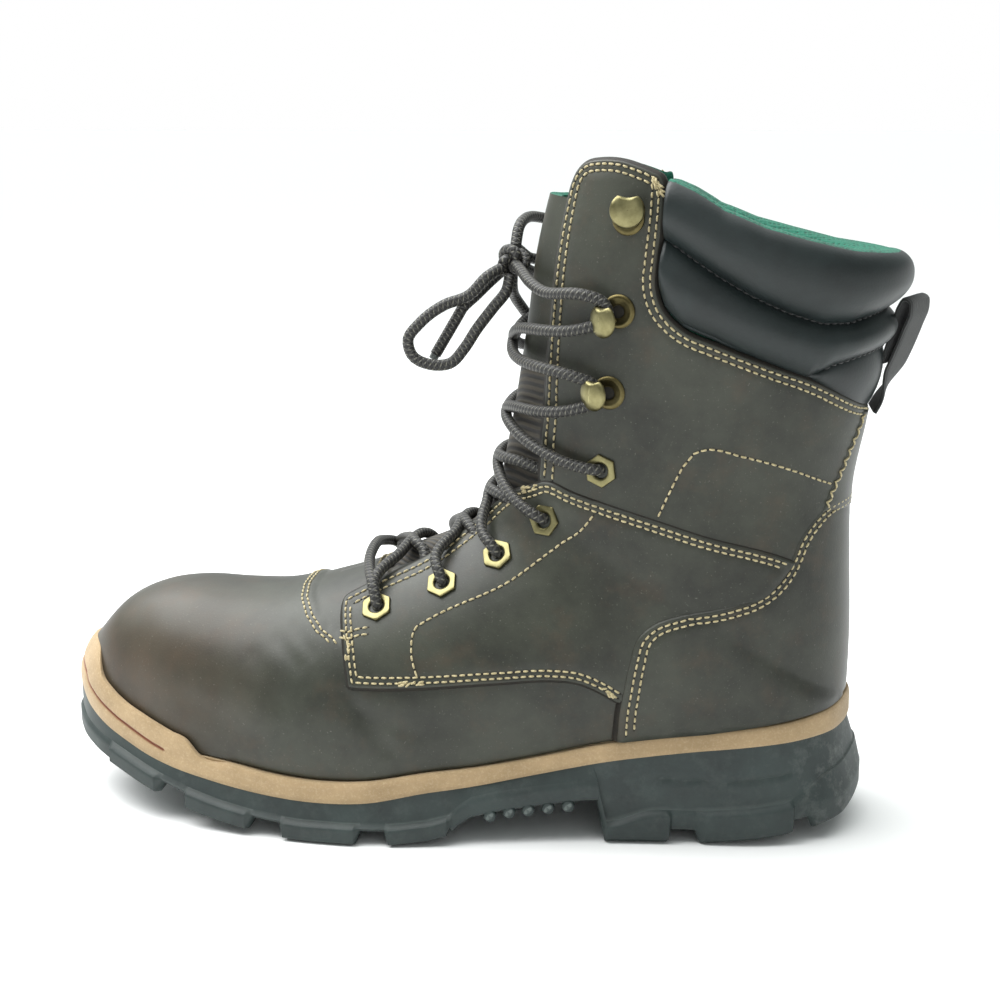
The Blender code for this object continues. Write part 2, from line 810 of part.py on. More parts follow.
def collar_front(z, side):
    """Turn at which the collar meets the eyestay panel at height z."""
    edge_x = np.interp(z, [p.z for p in COLLAR_SEAM[3::-1]], [p.x for p in COLLAR_SEAM[3::-1]])
    low, high = 0.6, 2.0
    for _ in range(30):
        middle = (low + high) / 2
        if upper_point(level_point(z, middle, side), middle, side)[0] < edge_x + COLLAR_GAP:
            low = middle
        else:
            high = middle
    return low


def collar_profile(backness, lower_crease):
    """Cross-section of the padded collar: share of its height, and distance out of the wall."""
    upper_crease = np.interp(backness, (0, 1), UPPER_CREASE)
    out = Rolls(*(front + (back - front) * backness for front, back in zip(ROLLS_FRONT, ROLLS_BACK)))
    rise = upper_crease - lower_crease
    rest = 1 - upper_crease
    return (
        (0.0, out.seam),
        (0.5 * lower_crease, out.low_roll),
        (lower_crease, out.low_crease),
        (lower_crease + 0.25 * rise, out.mid_roll * 0.9),
        (lower_crease + 0.65 * rise, out.mid_roll),
        (upper_crease, out.crease),
        (upper_crease + 0.25 * rest, out.top_roll * 0.92),
        (upper_crease + 0.6 * rest, out.top_roll),
        (upper_crease + 0.88 * rest, out.top_roll * 0.62),
        (1.0, 0.2 * out.top_roll - 1.5),
        (0.99, -0.6 * COLLAR_PAD),
        (0.88, -COLLAR_PAD),
        (0.45, -COLLAR_PAD),
        (0.06, -0.8 * COLLAR_PAD),
        (0.0, -0.5 * COLLAR_PAD),
    )


def collar_section(side, share, fronts):
    """Cross-section of the collar at a share of the way from its front edge to the back."""
    seam = COLLAR_SEAM[3:]

    def wall_at(z):
        front = np.interp(z, COLLAR_LEVELS, fronts)
        turn = front + (math.pi - front) * share
        s = level_point(z, turn, side)
        point = upper_point(s, turn, side)

        def wall(a, b):
            return upper_point(a, b, side)

        out = outward(wall, s, min(turn, math.pi - 0.02), 0.05, 0.015)
        if share == 1:
            out[1] = 0.0
        out[2] = 0.0
        return point, out / np.linalg.norm(out)

    x = wall_at(205.0)[0][0]
    low = np.interp(x, [p.x for p in seam], [p.z for p in seam])
    high = np.interp(x, [p.x for p in COLLAR_TOP], [p.z for p in COLLAR_TOP])
    backness = float(np.clip((x - 75) / 80, 0.0, 1.0))
    lower_crease = np.interp(x, LOWER_CREASE_X, LOWER_CREASE_SHARE)
    row = []
    for up, distance in collar_profile(backness, lower_crease):
        point, out = wall_at(low + (high - low) * up)
        point = point + out * distance
        if up == 0:
            point[2] = np.interp(point[0], [p.x for p in seam], [p.z for p in seam]) + CLEAR
        row.append(point)
    return row


def collar_mesh():
    shares = np.linspace(0, 1, COLLAR_STEPS + 1)
    fronts = {side: [collar_front(z, side) for z in COLLAR_LEVELS] for side in (OUTER, INNER)}
    rows = [collar_section(OUTER, share, fronts[OUTER]) for share in shares]
    rows += [collar_section(INNER, share, fronts[INNER]) for share in shares[-2::-1]]
    return loft(rows, wrap=True, caps=True)


def panel(name, rows, sides, outline):
    """Leather panel: the upper's own surface, lifted off it, thickened and cut to an outline."""
    piece = make_object(name, wall_mesh(rows, sides), LEATHER, boot)
    lifted = piece.modifiers.new("lift", "DISPLACE")
    lifted.mid_level = 0.0
    lifted.strength = PANEL_GAP * MM
    solidify(piece, PANEL, 1)
    low = -PAST_SIDE if OUTER in sides else 0
    high = PAST_SIDE if INNER in sides else 0
    boolean(piece, prism(name + "_outline", outline, low, high), "INTERSECT")
    return piece


def outline_of(*lines):
    return [(place.x, place.z) for line in lines for place in line]


def quarter_outline():
    """The quarter ends just short of the counter, whose edge it follows."""
    shared = [(p.x - PANEL_GAP, p.z + PANEL_GAP) for p in COUNTER_EDGE[1:10]]
    return outline_of(QUARTER_FRONT) + shared + outline_of(QUARTER_TOP)


def counter_outline():
    """The counter stands just clear of the midsole's rim."""
    back = [(COUNTER_BACK, COUNTER_EDGE[-1].z)]
    foot = [(x, height("rim", x) + PANEL_GAP) for x in COUNTER_STATIONS]
    return outline_of(COUNTER_EDGE) + back + foot


def pull_loop_mesh():
    middle = np.array([(p.x, p.z) for p in PULL_LOOP])
    ahead = np.gradient(middle, axis=0)
    ahead /= np.linalg.norm(ahead, axis=1)[:, None]
    rows = []
    for (x, z), (dx, dz) in zip(middle, ahead):
        half, wide = WEBBING_THICK / 2, WEBBING_WIDTH / 2
        corners = ((-half, -wide), (half, -wide), (half, wide), (-half, wide))
        rows.append([(x - dz * off, y, z + dx * off) for off, y in corners])
    return loft(rows, wrap=True, caps=True)


def lifted(over):
    return over_throat(over.row, over.y) + throat_normal(over.row, over.y) * over.lift


def from_knot(toward):
    """Point at which a cord that leads to toward comes out of the knot."""
    middle = lifted(KNOT)
    ahead = (toward - middle) / np.linalg.norm(toward - middle)
    reach = 1 / np.linalg.norm(ahead / KNOT_HALF_SIZES)
    return middle + ahead * (reach + KNOT_GAP)


def lace_levels(side):
    """Row and distance across of each eyelet and hook that the lace uses."""
    levels = []
    for place in EYELETS + HOOKS[:2]:
        s, turn = wall_place(place.x, place.z, side)
        levels.append((s, upper_point(s, turn, side)[1]))
    return levels


def strand(start, end, end_cut=CROSS_CUT):
    """Points of a lace strand over the throat, from beside one eyelet to beside another."""
    points = []
    for share in np.linspace(CROSS_CUT, 1 - end_cut, CROSS_STEPS + 1):
        s = start[0] + (end[0] - start[0]) * share
        y = start[1] + (end[1] - start[1]) * share
        rise = np.interp((2 * share - 1) ** 2, (0, 1), CROSS_LIFT)
        points.append(lifted(Over(s, y, rise)))
    return points


def cord(name, points, thick, material):
    """Round cord along points, as a curve with filled ends."""
    data = bpy.data.curves.new(name, "CURVE")
    data.dimensions = "3D"
    data.bevel_depth = thick / 2 * MM
    data.bevel_resolution = 1
    data.use_fill_caps = True
    spline = data.splines.new("POLY")
    spline.points.add(len(points) - 1)
    for target, point in zip(spline.points, points):
        target.co = (*metres(point), 1.0)
    data.materials.append(material)
    piece = bpy.data.objects.new(name, data)
    boot.objects.link(piece)
    return piece


def cord_solid(name, points):
    """The same cord as a closed mesh that can be joined with another."""
    curve_piece = cord(name + "_line", points, LACE, LACE_YARN)
    graph = bpy.context.evaluated_depsgraph_get()
    data = bpy.data.meshes.new_from_object(curve_piece.evaluated_get(graph))
    mesh = bmesh.new()
    mesh.from_mesh(data)
    bmesh.ops.remove_doubles(mesh, verts=mesh.verts, dist=1e-6)
    bpy.data.objects.remove(curve_piece, do_unlink=True)
    return mesh


def crossing(name, first, second):
    """Two strands that cross, joined into one solid."""
    piece = make_object(name, cord_solid(name, first), LACE_YARN, boot)
    partner = make_object(name + "_partner", cord_solid(name + "_partner", second), None, cutters)
    partner.hide_render = True
    partner.display_type = "WIRE"
    boolean(piece, partner, "UNION")
    return piece


# Shared mesh tools


def loft(rows, wrap=False, caps=False):
    """Mesh through rows of equal length; wrap closes each row, caps fills the first and last."""
    mesh = bmesh.new()
    verts = [[mesh.verts.new(metres(point)) for point in row] for row in rows]
    count = len(rows[0])
    for low, high in zip(verts, verts[1:]):
        for j in range(count if wrap else count - 1):
            k = (j + 1) % count
            mesh.faces.new((low[j], high[j], high[k], low[k]))
    if caps:
        mesh.faces.new(verts[0])
        mesh.faces.new(verts[-1][::-1])
    bmesh.ops.remove_doubles(mesh, verts=mesh.verts, dist=1e-5)
    if wrap:
        bmesh.ops.recalc_face_normals(mesh, faces=mesh.faces)
    return mesh


def prism(name, outline, y_low, y_high):
    """Cutter: an outline in the side view, swept across the boot."""
    mesh = bmesh.new()
    face = mesh.faces.new([mesh.verts.new(metres((x, y_low, z))) for x, z in outline])
    swept = bmesh.ops.extrude_face_region(mesh, geom=[face])["geom"]
    moved = [item for item in swept if isinstance(item, bmesh.types.BMVert)]
    bmesh.ops.translate(mesh, verts=moved, vec=(0, (y_high - y_low) * MM, 0))
    bmesh.ops.recalc_face_normals(mesh, faces=mesh.faces)
    cutter = make_object(name, mesh, None, cutters)
    cutter.hide_render = True
    cutter.display_type = "WIRE"
    return cutter


def make_object(name, mesh, material, collection):
    data = bpy.data.meshes.new(name)
    mesh.to_mesh(data)
    mesh.free()
    piece = bpy.data.objects.new(name, data)
    collection.objects.link(piece)
    if material:
        data.materials.append(material)
        data.shade_smooth()
        data.set_sharp_from_angle(angle=math.radians(40))
    return piece


def solidify(piece, thickness, direction):
    modifier = piece.modifiers.new("wall", "SOLIDIFY")
    modifier.thickness = thickness * MM
    modifier.offset = direction
    return modifier


def boolean(piece, cutter, operation):
    modifier = piece.modifiers.new(cutter.name, "BOOLEAN")
    modifier.operation = operation
    modifier.object = cutter
    return modifier


def finish(name, colour, roughness, metallic=0.0):
    """Material with one colour."""
    material = bpy.data.materials.new(name)
    material.use_nodes = True
    shader = material.node_tree.nodes["Principled BSDF"]
    shader.inputs["Base Color"].default_value = (*colour, 1.0)
    shader.inputs["Roughness"].default_value = roughness
    shader.inputs["Metallic"].default_value = metallic
    return material


# Pieces

for leftover in list(bpy.data.objects):
    bpy.data.objects.remove(leftover, do_unlink=True)

boot = bpy.data.collections.new("work_hiking_boot")
cutters = bpy.data.collections.new("cutters")
bpy.context.scene.collection.children.link(boot)
bpy.context.scene.collection.children.link(cutters)

LEATHER = finish("oiled_leather", (0.035, 0.028, 0.018), 0.6)
RUBBER = finish("black_rubber", (0.012, 0.013, 0.013), 0.55)
TAN_RUBBER = finish("tan_midsole", (0.42, 0.22, 0.09), 0.6)
BOARD = finish("insole_foam", (0.05, 0.12, 0.10), 0.9)
PAD = finish("black_collar_cloth", (0.015, 0.016, 0.017), 0.6)
BRASS = finish("antique_brass", (0.45, 0.34, 0.14), 0.35, 1.0)
LACE_YARN = finish("braided_lace", (0.03, 0.027, 0.022), 0.8)
TIP_PLASTIC = finish("clear_tip", (0.25, 0.25, 0.24), 0.4)

make_object("outsole", outsole_mesh(), RUBBER, boot)
make_object("midsole", midsole_mesh(), TAN_RUBBER, boot)
make_object("insole", insole_mesh(), BOARD, boot)

upper = make_object("upper", wall_mesh(upper_rows(), (OUTER, INNER)), LEATHER, boot)
solidify(upper, WALL, -1)
boolean(upper, prism("topline", topline_outline(), -PAST_SIDE, PAST_SIDE), "DIFFERENCE")


def build_panels():
    low_rows = [row for row in upper_rows() if 7 <= row <= 21]
    for side, name in ((OUTER, "quarter_outer"), (INNER, "quarter_inner")):
        panel(name, low_rows, (side,), quarter_outline())
    heel_rows = [row for row in upper_rows() if 10 <= row <= 20]
    panel("heel_counter", heel_rows, (OUTER, INNER), counter_outline())
    back_rows = [row for row in upper_rows() if 17 <= row <= 22]
    panel("backstay", back_rows, (OUTER, INNER), outline_of(BACKSTAY))


def build_fittings():
    for side, name in ((OUTER, "outer"), (INNER, "inner")):
        for k, place in enumerate(EYELETS):
            on_panel = PANEL + PANEL_GAP if k < EYELETS_ON_QUARTER else 0.0
            mesh = eyelet_mesh(place, side, on_panel + CLEAR)
            make_object(f"eyelet_{name}_{k + 1}", mesh, BRASS, boot)
        for k, place in enumerate(HOOKS):
            make_object(f"hook_{name}_{k + 1}", hook_mesh(place, side, CLEAR), BRASS, boot)


def build_lace():
    outer, inner = lace_levels(OUTER), lace_levels(INNER)
    bar = [(row - BAR_AHEAD, y) for row, y in (outer[0], inner[0])]
    make_object("lace_bar", cord_solid("lace_bar", strand(*bar)), LACE_YARN, boot)
    for k in range(len(outer) - 1):
        crossing(f"lace_cross_{k + 1}", strand(outer[k], inner[k + 1]), strand(inner[k], outer[k + 1]))
    knot = lifted(KNOT)
    for level, name in ((outer[-1], "outer"), (inner[-1], "inner")):
        points = strand((KNOT.row, KNOT.y), level, TIE_CUT)
        cut = [p for p in points if np.linalg.norm(p - knot) > TIE_END_GAP]
        cord(f"lace_tie_{name}", [from_knot(cut[0]), *cut], LACE, LACE_YARN)
    mesh = bmesh.new()
    bmesh.ops.create_icosphere(mesh, subdivisions=2, radius=MM)
    bmesh.ops.scale(mesh, verts=mesh.verts, vec=KNOT_HALF_SIZES)
    bmesh.ops.translate(mesh, verts=mesh.verts, vec=metres(knot))
    make_object("lace_knot", mesh, LACE_YARN, boot)
    bow = {
        "outer": (np.array(OUTER_LOOP), np.array(OUTER_END), np.array(OUTER_TIP)),
        "inner": ([lifted(o) for o in INNER_LOOP], [lifted(o) for o in INNER_END], lifted(INNER_TIP)),
    }
    for name, (loop, end, tip) in bow.items():
        cord(f"lace_loop_{name}", smooth_line([from_knot(loop[0]), *loop, from_knot(loop[-1])], 2), LACE, LACE_YARN)
        cord(f"lace_end_{name}", smooth_line([from_knot(end[0]), *end], 2), LACE, LACE_YARN)
        ahead = (tip - end[-1]) / np.linalg.norm(tip - end[-1])
        cord(f"lace_tip_{name}", [end[-1] + ahead * CLEAR, tip], TIP_THICK, TIP_PLASTIC)


make_object("tongue", tongue_mesh(), LEATHER, boot)
make_object("collar", collar_mesh(), PAD, boot)
make_object("pull_loop", pull_loop_mesh(), PAD, boot)
build_panels()
build_fittings()
build_lace()
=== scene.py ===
import math

import bpy
import numpy as np
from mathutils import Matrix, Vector
from mathutils.bvhtree import BVHTree
from mathutils.geometry import delaunay_2d_cdt


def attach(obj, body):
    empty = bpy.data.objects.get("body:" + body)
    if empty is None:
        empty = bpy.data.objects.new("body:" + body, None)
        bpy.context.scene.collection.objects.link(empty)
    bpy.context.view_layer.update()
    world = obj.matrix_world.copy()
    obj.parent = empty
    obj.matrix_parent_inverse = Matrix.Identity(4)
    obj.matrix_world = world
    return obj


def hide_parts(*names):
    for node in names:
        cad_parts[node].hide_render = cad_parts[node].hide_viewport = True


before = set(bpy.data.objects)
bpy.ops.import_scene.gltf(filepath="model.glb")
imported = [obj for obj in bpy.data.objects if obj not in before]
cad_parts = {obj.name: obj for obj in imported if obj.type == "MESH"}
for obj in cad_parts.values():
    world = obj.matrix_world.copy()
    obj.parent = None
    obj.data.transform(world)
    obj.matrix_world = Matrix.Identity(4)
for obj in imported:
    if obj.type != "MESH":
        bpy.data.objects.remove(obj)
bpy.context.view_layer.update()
scene = bpy.context.scene
outer, inner = -1, 1
sides = (outer, inner)
sideNames = {outer: "outer", inner: "inner"}
dice = np.random.default_rng(7)
mm = 0.001  # one millimetre in metres

# All tables are in millimetres from the long axis of the sole: toe at -x, outer side at -y.
boxMiddle = np.array((6.07, -3.38, 0.0))  # middle of the frame's box in table millimetres


def metres(points):
    return (np.asarray(points, float) - boxMiddle) * mm


def curveThrough(xs, ys):
    xs, ys = np.asarray(xs, float), np.asarray(ys, float)
    slopes = np.gradient(ys, xs, axis=0)

    def read(x):
        x = np.asarray(x, float)
        k = np.clip(np.searchsorted(xs, x) - 1, 0, len(xs) - 2)
        run = xs[k + 1] - xs[k]
        f = np.clip((x - xs[k]) / run, 0, 1)
        if ys.ndim == 2:
            run, f = run[..., None], f[..., None]
        start = (1 + 2 * f) * (1 - f) ** 2 * ys[k] + f * (1 - f) ** 2 * run * slopes[k]
        return start + f * f * (3 - 2 * f) * ys[k + 1] + f * f * (f - 1) * run * slopes[k + 1]

    return read


def unit(vectors):
    return vectors / np.maximum(np.linalg.norm(vectors, axis=-1, keepdims=True), 1e-9)


def runAlong(points):  # distance run at each point of a line
    return np.concatenate([[0], np.cumsum(np.linalg.norm(np.diff(points, axis=0), axis=1))])


def readAlong(goal, run, line):  # the line's points, or vectors along it, at these distances
    return np.stack([np.interp(goal, run, c) for c in line.T], axis=1)


def spaced(points, step):  # the same line with points about step apart
    points = np.asarray(points, float)
    run = runAlong(points)
    return readAlong(np.linspace(0, run[-1], max(2, int(round(run[-1] / step)) + 1)), run, points)


def smoothRoute(points, step=1.0):  # smooth line through points, then spaced
    points = np.asarray(points, float)
    run = runAlong(points)
    return spaced(curveThrough(run, points)(np.linspace(0, run[-1], 40 * len(points))), step)


def ramp(x, low, high):
    f = np.clip((np.asarray(x, float) - low) / (high - low), 0, 1)
    return f * f * (3 - 2 * f)


def gridFaces(rows, columns, wrap=False, flip=False):
    i, j = np.meshgrid(np.arange(rows - 1), np.arange(columns if wrap else columns - 1), indexing="ij")
    k = (j + 1) % columns
    quad = np.stack([i * columns + j, (i + 1) * columns + j, (i + 1) * columns + k, i * columns + k], -1)
    quad = quad.reshape(-1, 4)
    return quad[:, ::-1] if flip else quad


def tubeFaces(rows, columns):  # a closed tube with its two ends
    count = rows * columns
    ends = [list(range(columns)), list(range(count - columns, count))[::-1]]
    return gridFaces(rows, columns, wrap=True).tolist() + ends


def gridNormals(grid, side):
    return unit(np.cross(np.gradient(grid, axis=0), np.gradient(grid, axis=1))) * side


def anglesRound(count):
    return np.linspace(0, 2 * math.pi, count, endpoint=False)


def ringWays(angle, a, b):  # from the middle of a ring, turning from a to b
    return np.cos(angle)[:, None] * a + np.sin(angle)[:, None] * b


# profile: radius, height, 1 round or 0 as radius says
def lathe(origin, a, b, out, profile, segments, radius=None):
    angle = anglesRound(segments)
    scale = np.ones(segments) if radius is None else radius(angle)
    rings = []
    for r, h, round01 in profile:
        reach = r * (scale * (1 - round01) + round01)
        rings.append(origin + out * h + ringWays(angle, a, b) * reach[:, None])
    return np.concatenate(rings), gridFaces(len(profile), segments, wrap=True)


def bisect(low, high, isLow, steps=30):  # where isLow stops holding
    for k in range(steps):
        middle = (low + high) / 2
        under = isLow(middle)
        low, high = np.where(under, middle, low), np.where(under, high, middle)
    return low


def addObject(name, data, place=(0, 0, 0), way=None):
    thing = bpy.data.objects.new(name, data)
    thing.location = place
    if way is not None:  # a light shines this way
        thing.rotation_euler = Vector(way).to_track_quat("-Z", "Y").to_euler()
    scene.collection.objects.link(thing)
    return thing


def addPiece(name, points, faces, materials, nodes=(), slots=None, cornerUv=None, sharp=None):
    data = bpy.data.meshes.new(name)
    faces = faces.tolist() if isinstance(faces, np.ndarray) else faces
    data.from_pydata(metres(points).reshape(-1, 3).tolist(), [], faces)
    for material in materials:
        data.materials.append(material)
    if slots is not None:
        data.polygons.foreach_set("material_index", np.asarray(slots, np.int32))
    if cornerUv is not None:
        data.uv_layers.new(name="along").data.foreach_set("uv", np.asarray(cornerUv, np.float32).ravel())
    data.shade_smooth()
    if sharp:
        data.set_sharp_from_angle(angle=math.radians(sharp))
    data.update()
    piece = addObject(name, data)
    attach(piece, "root")
    if nodes:
        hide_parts(*nodes)
    return piece


# Camera and studio

studio = {
    "cameraAt": (91.2, -650.0, 264.3),
    "tiltDown": 12.5,
    "turn": 6.63,
    "lens": 62.57,
    "sensor": 36.0,
    "sky": ((0.07, "#ffffff"), (0.2, "#8d9392")),  # white at the horizon, dim above it
    "ceiling": 2.45,
    "ceilingSpread": 100,
    "ceilingWay": (0.25, -0.3, -1.0),
    "softboxes": (  # name, place and aim in metres, size, watts
        ("toeSoftbox", (-0.5, 0.08, 1.1), (-0.07, 0.0, 0.07), 1.2, 25.0),
        ("frontFill", (0.5, -1.5, 0.9), (0.0, 0.0, 0.12), 1.0, 2.0),
    ),
    "floorSize": 60.0,
    "floorAt": (0, 0, -0.0005),
}


def linear(hexColour):
    parts = [int(hexColour[k:k + 2], 16) / 255 for k in (1, 3, 5)]
    return (*(p / 12.92 if p <= 0.04045 else ((p + 0.055) / 1.055) ** 2.4 for p in parts), 1.0)


def addNode(tree, kind, settings=None, links=None, give=0):  # returns the output that give names
    node = tree.nodes.new(kind)
    for key, value in (settings or {}).items():
        if isinstance(key, int) or key in node.inputs:
            node.inputs[key].default_value = value
        else:
            setattr(node, key, value)
    for key, source in (links or {}).items():
        tree.links.new(source, node.inputs[key])
    return node.outputs[give]


def startMaterial(name, settings):
    material = bpy.data.materials.new(name)
    material.use_nodes = True
    tree = material.node_tree
    shader = tree.nodes["Principled BSDF"]
    for key, value in settings.items():
        shader.inputs[key].default_value = value
    return material, tree, shader, addNode(tree, "ShaderNodeTexCoord", give="Object")


def perMetre(millimetres):  # texture scale that gives features of this size
    return 1000.0 / millimetres


def addStudio():
    camera = addObject("camera", bpy.data.cameras.new("camera"), metres(studio["cameraAt"]))
    camera.data.lens = studio["lens"]
    camera.data.sensor_width = studio["sensor"]
    camera.rotation_euler = (math.radians(90 - studio["tiltDown"]), 0, math.radians(studio["turn"]))
    scene.camera = camera

    world = bpy.data.worlds.new("studio")
    world.use_nodes = True
    sky = world.node_tree
    where = addNode(sky, "ShaderNodeTexCoord", give="Generated")
    height = addNode(sky, "ShaderNodeSeparateXYZ", None, {"Vector": where}, "Z")
    tone = addNode(sky, "ShaderNodeValToRGB", None, {"Fac": height})
    shades = tone.node.color_ramp
    shades.elements[0].color = linear("#ffffff")
    shades.elements[1].color = linear("#b4bcba")
    for at, colour in studio["sky"]:
        shades.elements.new(at).color = linear(colour)
    sky.links.new(tone, sky.nodes["Background"].inputs["Color"])
    scene.world = world
    scene.view_settings.view_transform = "Standard"

    ceiling = bpy.data.lights.new("ceilingDiffuser", "SUN")  # even all over the floor
    ceiling.energy = studio["ceiling"]
    ceiling.angle = math.radians(studio["ceilingSpread"])
    ceiling.color = linear("#fdfffe")[:3]
    addObject("ceilingDiffuser", ceiling, way=studio["ceilingWay"])
    for name, place, aim, size, watts in studio["softboxes"]:
        softbox = bpy.data.lights.new(name, "AREA")
        softbox.size = size
        softbox.energy = watts
        addObject(name, softbox, place, Vector(aim) - Vector(place))

    half = studio["floorSize"] / 2
    floor = bpy.data.meshes.new("studioFloor")
    floor.from_pydata([(-half, -half, 0), (half, -half, 0), (half, half, 0), (-half, half, 0)], [],
                      [(0, 1, 2, 3)])
    # Matt paper sweep: plain and pale, with no gloss
    paper = startMaterial("matt_paper_sweep", {"Roughness": 0.9, "Base Color": linear("#f4f4f4")})[0]
    floor.materials.append(paper)
    addObject("studioFloor", floor, studio["floorAt"])


addStudio()
print("studio: camera, lights and floor")


# Materials

def blend(tree, share, low, high):
    tones = {"data_type": "RGBA", 6: linear(low), 7: linear(high)}
    return addNode(tree, "ShaderNodeMix", tones, {0: share}, 2)


def mottle(tree, place, millimetres, low, high, spread=(0.3, 0.7)):  # two tones in soft spots of this size
    spots = addNode(tree, "ShaderNodeTexNoise",
                    {"Scale": perMetre(millimetres), "Detail": 6.0, "Roughness": 0.65},
                    {"Vector": place})
    share = addNode(tree, "ShaderNodeMapRange", {"From Min": spread[0], "From Max": spread[1]},
                    {"Value": spots})
    return spots, blend(tree, share, low, high)


def cover(tree, under, colour, mask):  # a second colour laid over the first where the mask is high
    return addNode(tree, "ShaderNodeMix", {"data_type": "RGBA", 7: linear(colour)}, {0: mask, 6: under}, 2)


def coverWhere(tree, under, colour, value, low, high, most=1.0):  # laid on as the value goes from low to high
    span = {"From Min": low, "From Max": high, "To Max": most}
    return cover(tree, under, colour, addNode(tree, "ShaderNodeMapRange", span, {"Value": value}))


# depth of the relief in millimetres
def finishMaterial(tree, shader, tone, dull, roughness, height, bump, depth=0.4):
    gloss = addNode(tree, "ShaderNodeMapRange", {"To Min": roughness[0], "To Max": roughness[1]},
                    {"Value": dull})
    relief = addNode(tree, "ShaderNodeBump", {"Strength": bump, "Distance": depth * mm}, {"Height": height})
    for key, made in (("Base Color", tone), ("Roughness", gloss), ("Normal", relief)):
        tree.links.new(made, shader.inputs[key])
    return relief


# spots in tone, gloss and relief
def makeSpotted(name, settings, millimetres, low, high, roughness, bump, depth=0.4):
    material, tree, shader, place = startMaterial(name, settings)
    spots, tone = mottle(tree, place, millimetres, low, high)
    finishMaterial(tree, shader, tone, spots, roughness, spots, bump, depth)
    return material


leatherLook = {
    "base": "#383a31",
    "shade": "#1f201a",
    "rub": "#4d3d2e",
    "dust": "#8b8a7e",
    "rubPlace": (-0.122, -0.030, 0.058),  # side of the toe, metres
    "rubReach": 0.06,
}


def makeNubuck():
    # Oiled nubuck, buffed cowhide filled with wax: cloudy olive brown, warm where rubbed, softly waxy
    look = leatherLook
    material, tree, shader, place = startMaterial("oiled_nubuck_buffed", {
        "IOR": 1.45, "Specular IOR Level": 0.22, "Coat Weight": 0.5, "Coat Roughness": 0.4, "Coat IOR": 1.45})
    body = mottle(tree, place, 40, look["shade"], look["base"], (0.32, 0.62))[1]
    rubs = addNode(tree, "ShaderNodeTexNoise", {"Scale": perMetre(17), "Detail": 7.0, "Roughness": 0.7},
                   {"Vector": place})
    tone = coverWhere(tree, body, look["rub"], rubs, 0.52, 0.8, 0.45)
    away = addNode(tree, "ShaderNodeVectorMath", {"operation": "DISTANCE", 1: look["rubPlace"]}, {0: place},
                   "Value")
    near = addNode(tree, "ShaderNodeMapRange", {"From Min": look["rubReach"], "From Max": 0.01},
                   {"Value": away})
    patch = addNode(tree, "ShaderNodeMath", {"operation": "MULTIPLY"}, {0: near, 1: rubs})
    tone = cover(tree, tone, look["rub"], patch)
    # pale flecks of dust, about 0.8 mm
    flecks = addNode(tree, "ShaderNodeTexNoise", {"Scale": perMetre(0.8), "Detail": 2.0}, {"Vector": place})
    tone = coverWhere(tree, tone, look["dust"], flecks, 0.66, 0.85, 0.35)
    relief = finishMaterial(tree, shader, tone, rubs, (0.4, 0.6), flecks, 0.16, 0.3)
    # pores of about 0.7 mm, drawn a little coarser than real
    pores = addNode(tree, "ShaderNodeTexVoronoi", {"Scale": perMetre(0.7), "Randomness": 1.0},
                    {"Vector": place})
    pitted = addNode(tree, "ShaderNodeBump", {"Strength": 0.08, "Distance": 0.3 * mm},
                     {"Height": pores, "Normal": relief})
    tree.links.new(pitted, shader.inputs["Normal"])
    return material


rubberLook = {
    "low": "#182221",
    "high": "#2b3735",
    "wornAndHighlightEdge": "#6f7774",
    "dust": "#8d918c",
    "heelFrom": 0.118,  # metres along the boot where the back of the heel is scuffed
}


def makeRubber():
    # Nitrile rubber, moulded: blue black and half matt, greyer and paler on its edges, partly from wear and
    # partly a painted highlight, dusty at the heel's back
    look = rubberLook
    material, tree, shader, place = startMaterial("nitrile_rubber_moulded", {"IOR": 1.52})
    tone = mottle(tree, place, 18, look["low"], look["high"])[1]
    # paler on convex edges: partly wear, partly a painted highlight along the edges
    edges = addNode(tree, "ShaderNodeNewGeometry", give="Pointiness")
    tone = coverWhere(tree, tone, look["wornAndHighlightEdge"], edges, 0.515, 0.58, 0.6)
    scuffs = addNode(tree, "ShaderNodeTexNoise", {"Scale": perMetre(7), "Detail": 8.0, "Roughness": 0.75},
                     {"Vector": place})
    along = addNode(tree, "ShaderNodeSeparateXYZ", None, {"Vector": place}, "X")
    atHeel = addNode(tree, "ShaderNodeMapRange",
                     {"From Min": look["heelFrom"], "From Max": 0.165, "To Min": 0.12},
                     {"Value": along})
    scuffed = addNode(tree, "ShaderNodeMapRange", {"From Min": 0.5, "From Max": 0.75, "To Max": 0.75},
                      {"Value": scuffs})
    dusty = addNode(tree, "ShaderNodeMath", {"operation": "MULTIPLY"}, {0: atHeel, 1: scuffed})
    tone = cover(tree, tone, look["dust"], dusty)
    # mould texture
    grit = addNode(tree, "ShaderNodeTexNoise", {"Scale": perMetre(0.9), "Detail": 4.0}, {"Vector": place})
    finishMaterial(tree, shader, tone, scuffs, (0.42, 0.7), grit, 0.14)
    return material


stripLook = {
    "low": "#947d5b",
    "high": "#ac936f",
    "line": "#6f3820",
    "speck": "#d3c0a2",
}


def makeStrip():
    # Polyurethane, moulded and flocked: chalky tan with fine pale specks, red brown in the engraved line
    look = stripLook
    material, tree, shader, place = startMaterial("polyurethane_moulded_chalky",
                                                  {"IOR": 1.48, "Sheen Weight": 0.15})
    clouds, tone = mottle(tree, place, 14, look["low"], look["high"])
    specks = addNode(tree, "ShaderNodeTexNoise", {"Scale": perMetre(0.9), "Detail": 4.0, "Roughness": 0.7},
                     {"Vector": place})
    tone = coverWhere(tree, tone, look["speck"], specks, 0.5, 0.8, 0.4)
    # darker red brown laid along the engraved line
    engravedLineDark = addNode(tree, "ShaderNodeAttribute", {"attribute_name": "engravedLineDark"}, give="Fac")
    tone = coverWhere(tree, tone, look["line"], engravedLineDark, 0.25, 0.75)
    finishMaterial(tree, shader, tone, clouds, (0.7, 0.9), specks, 0.25)
    return material


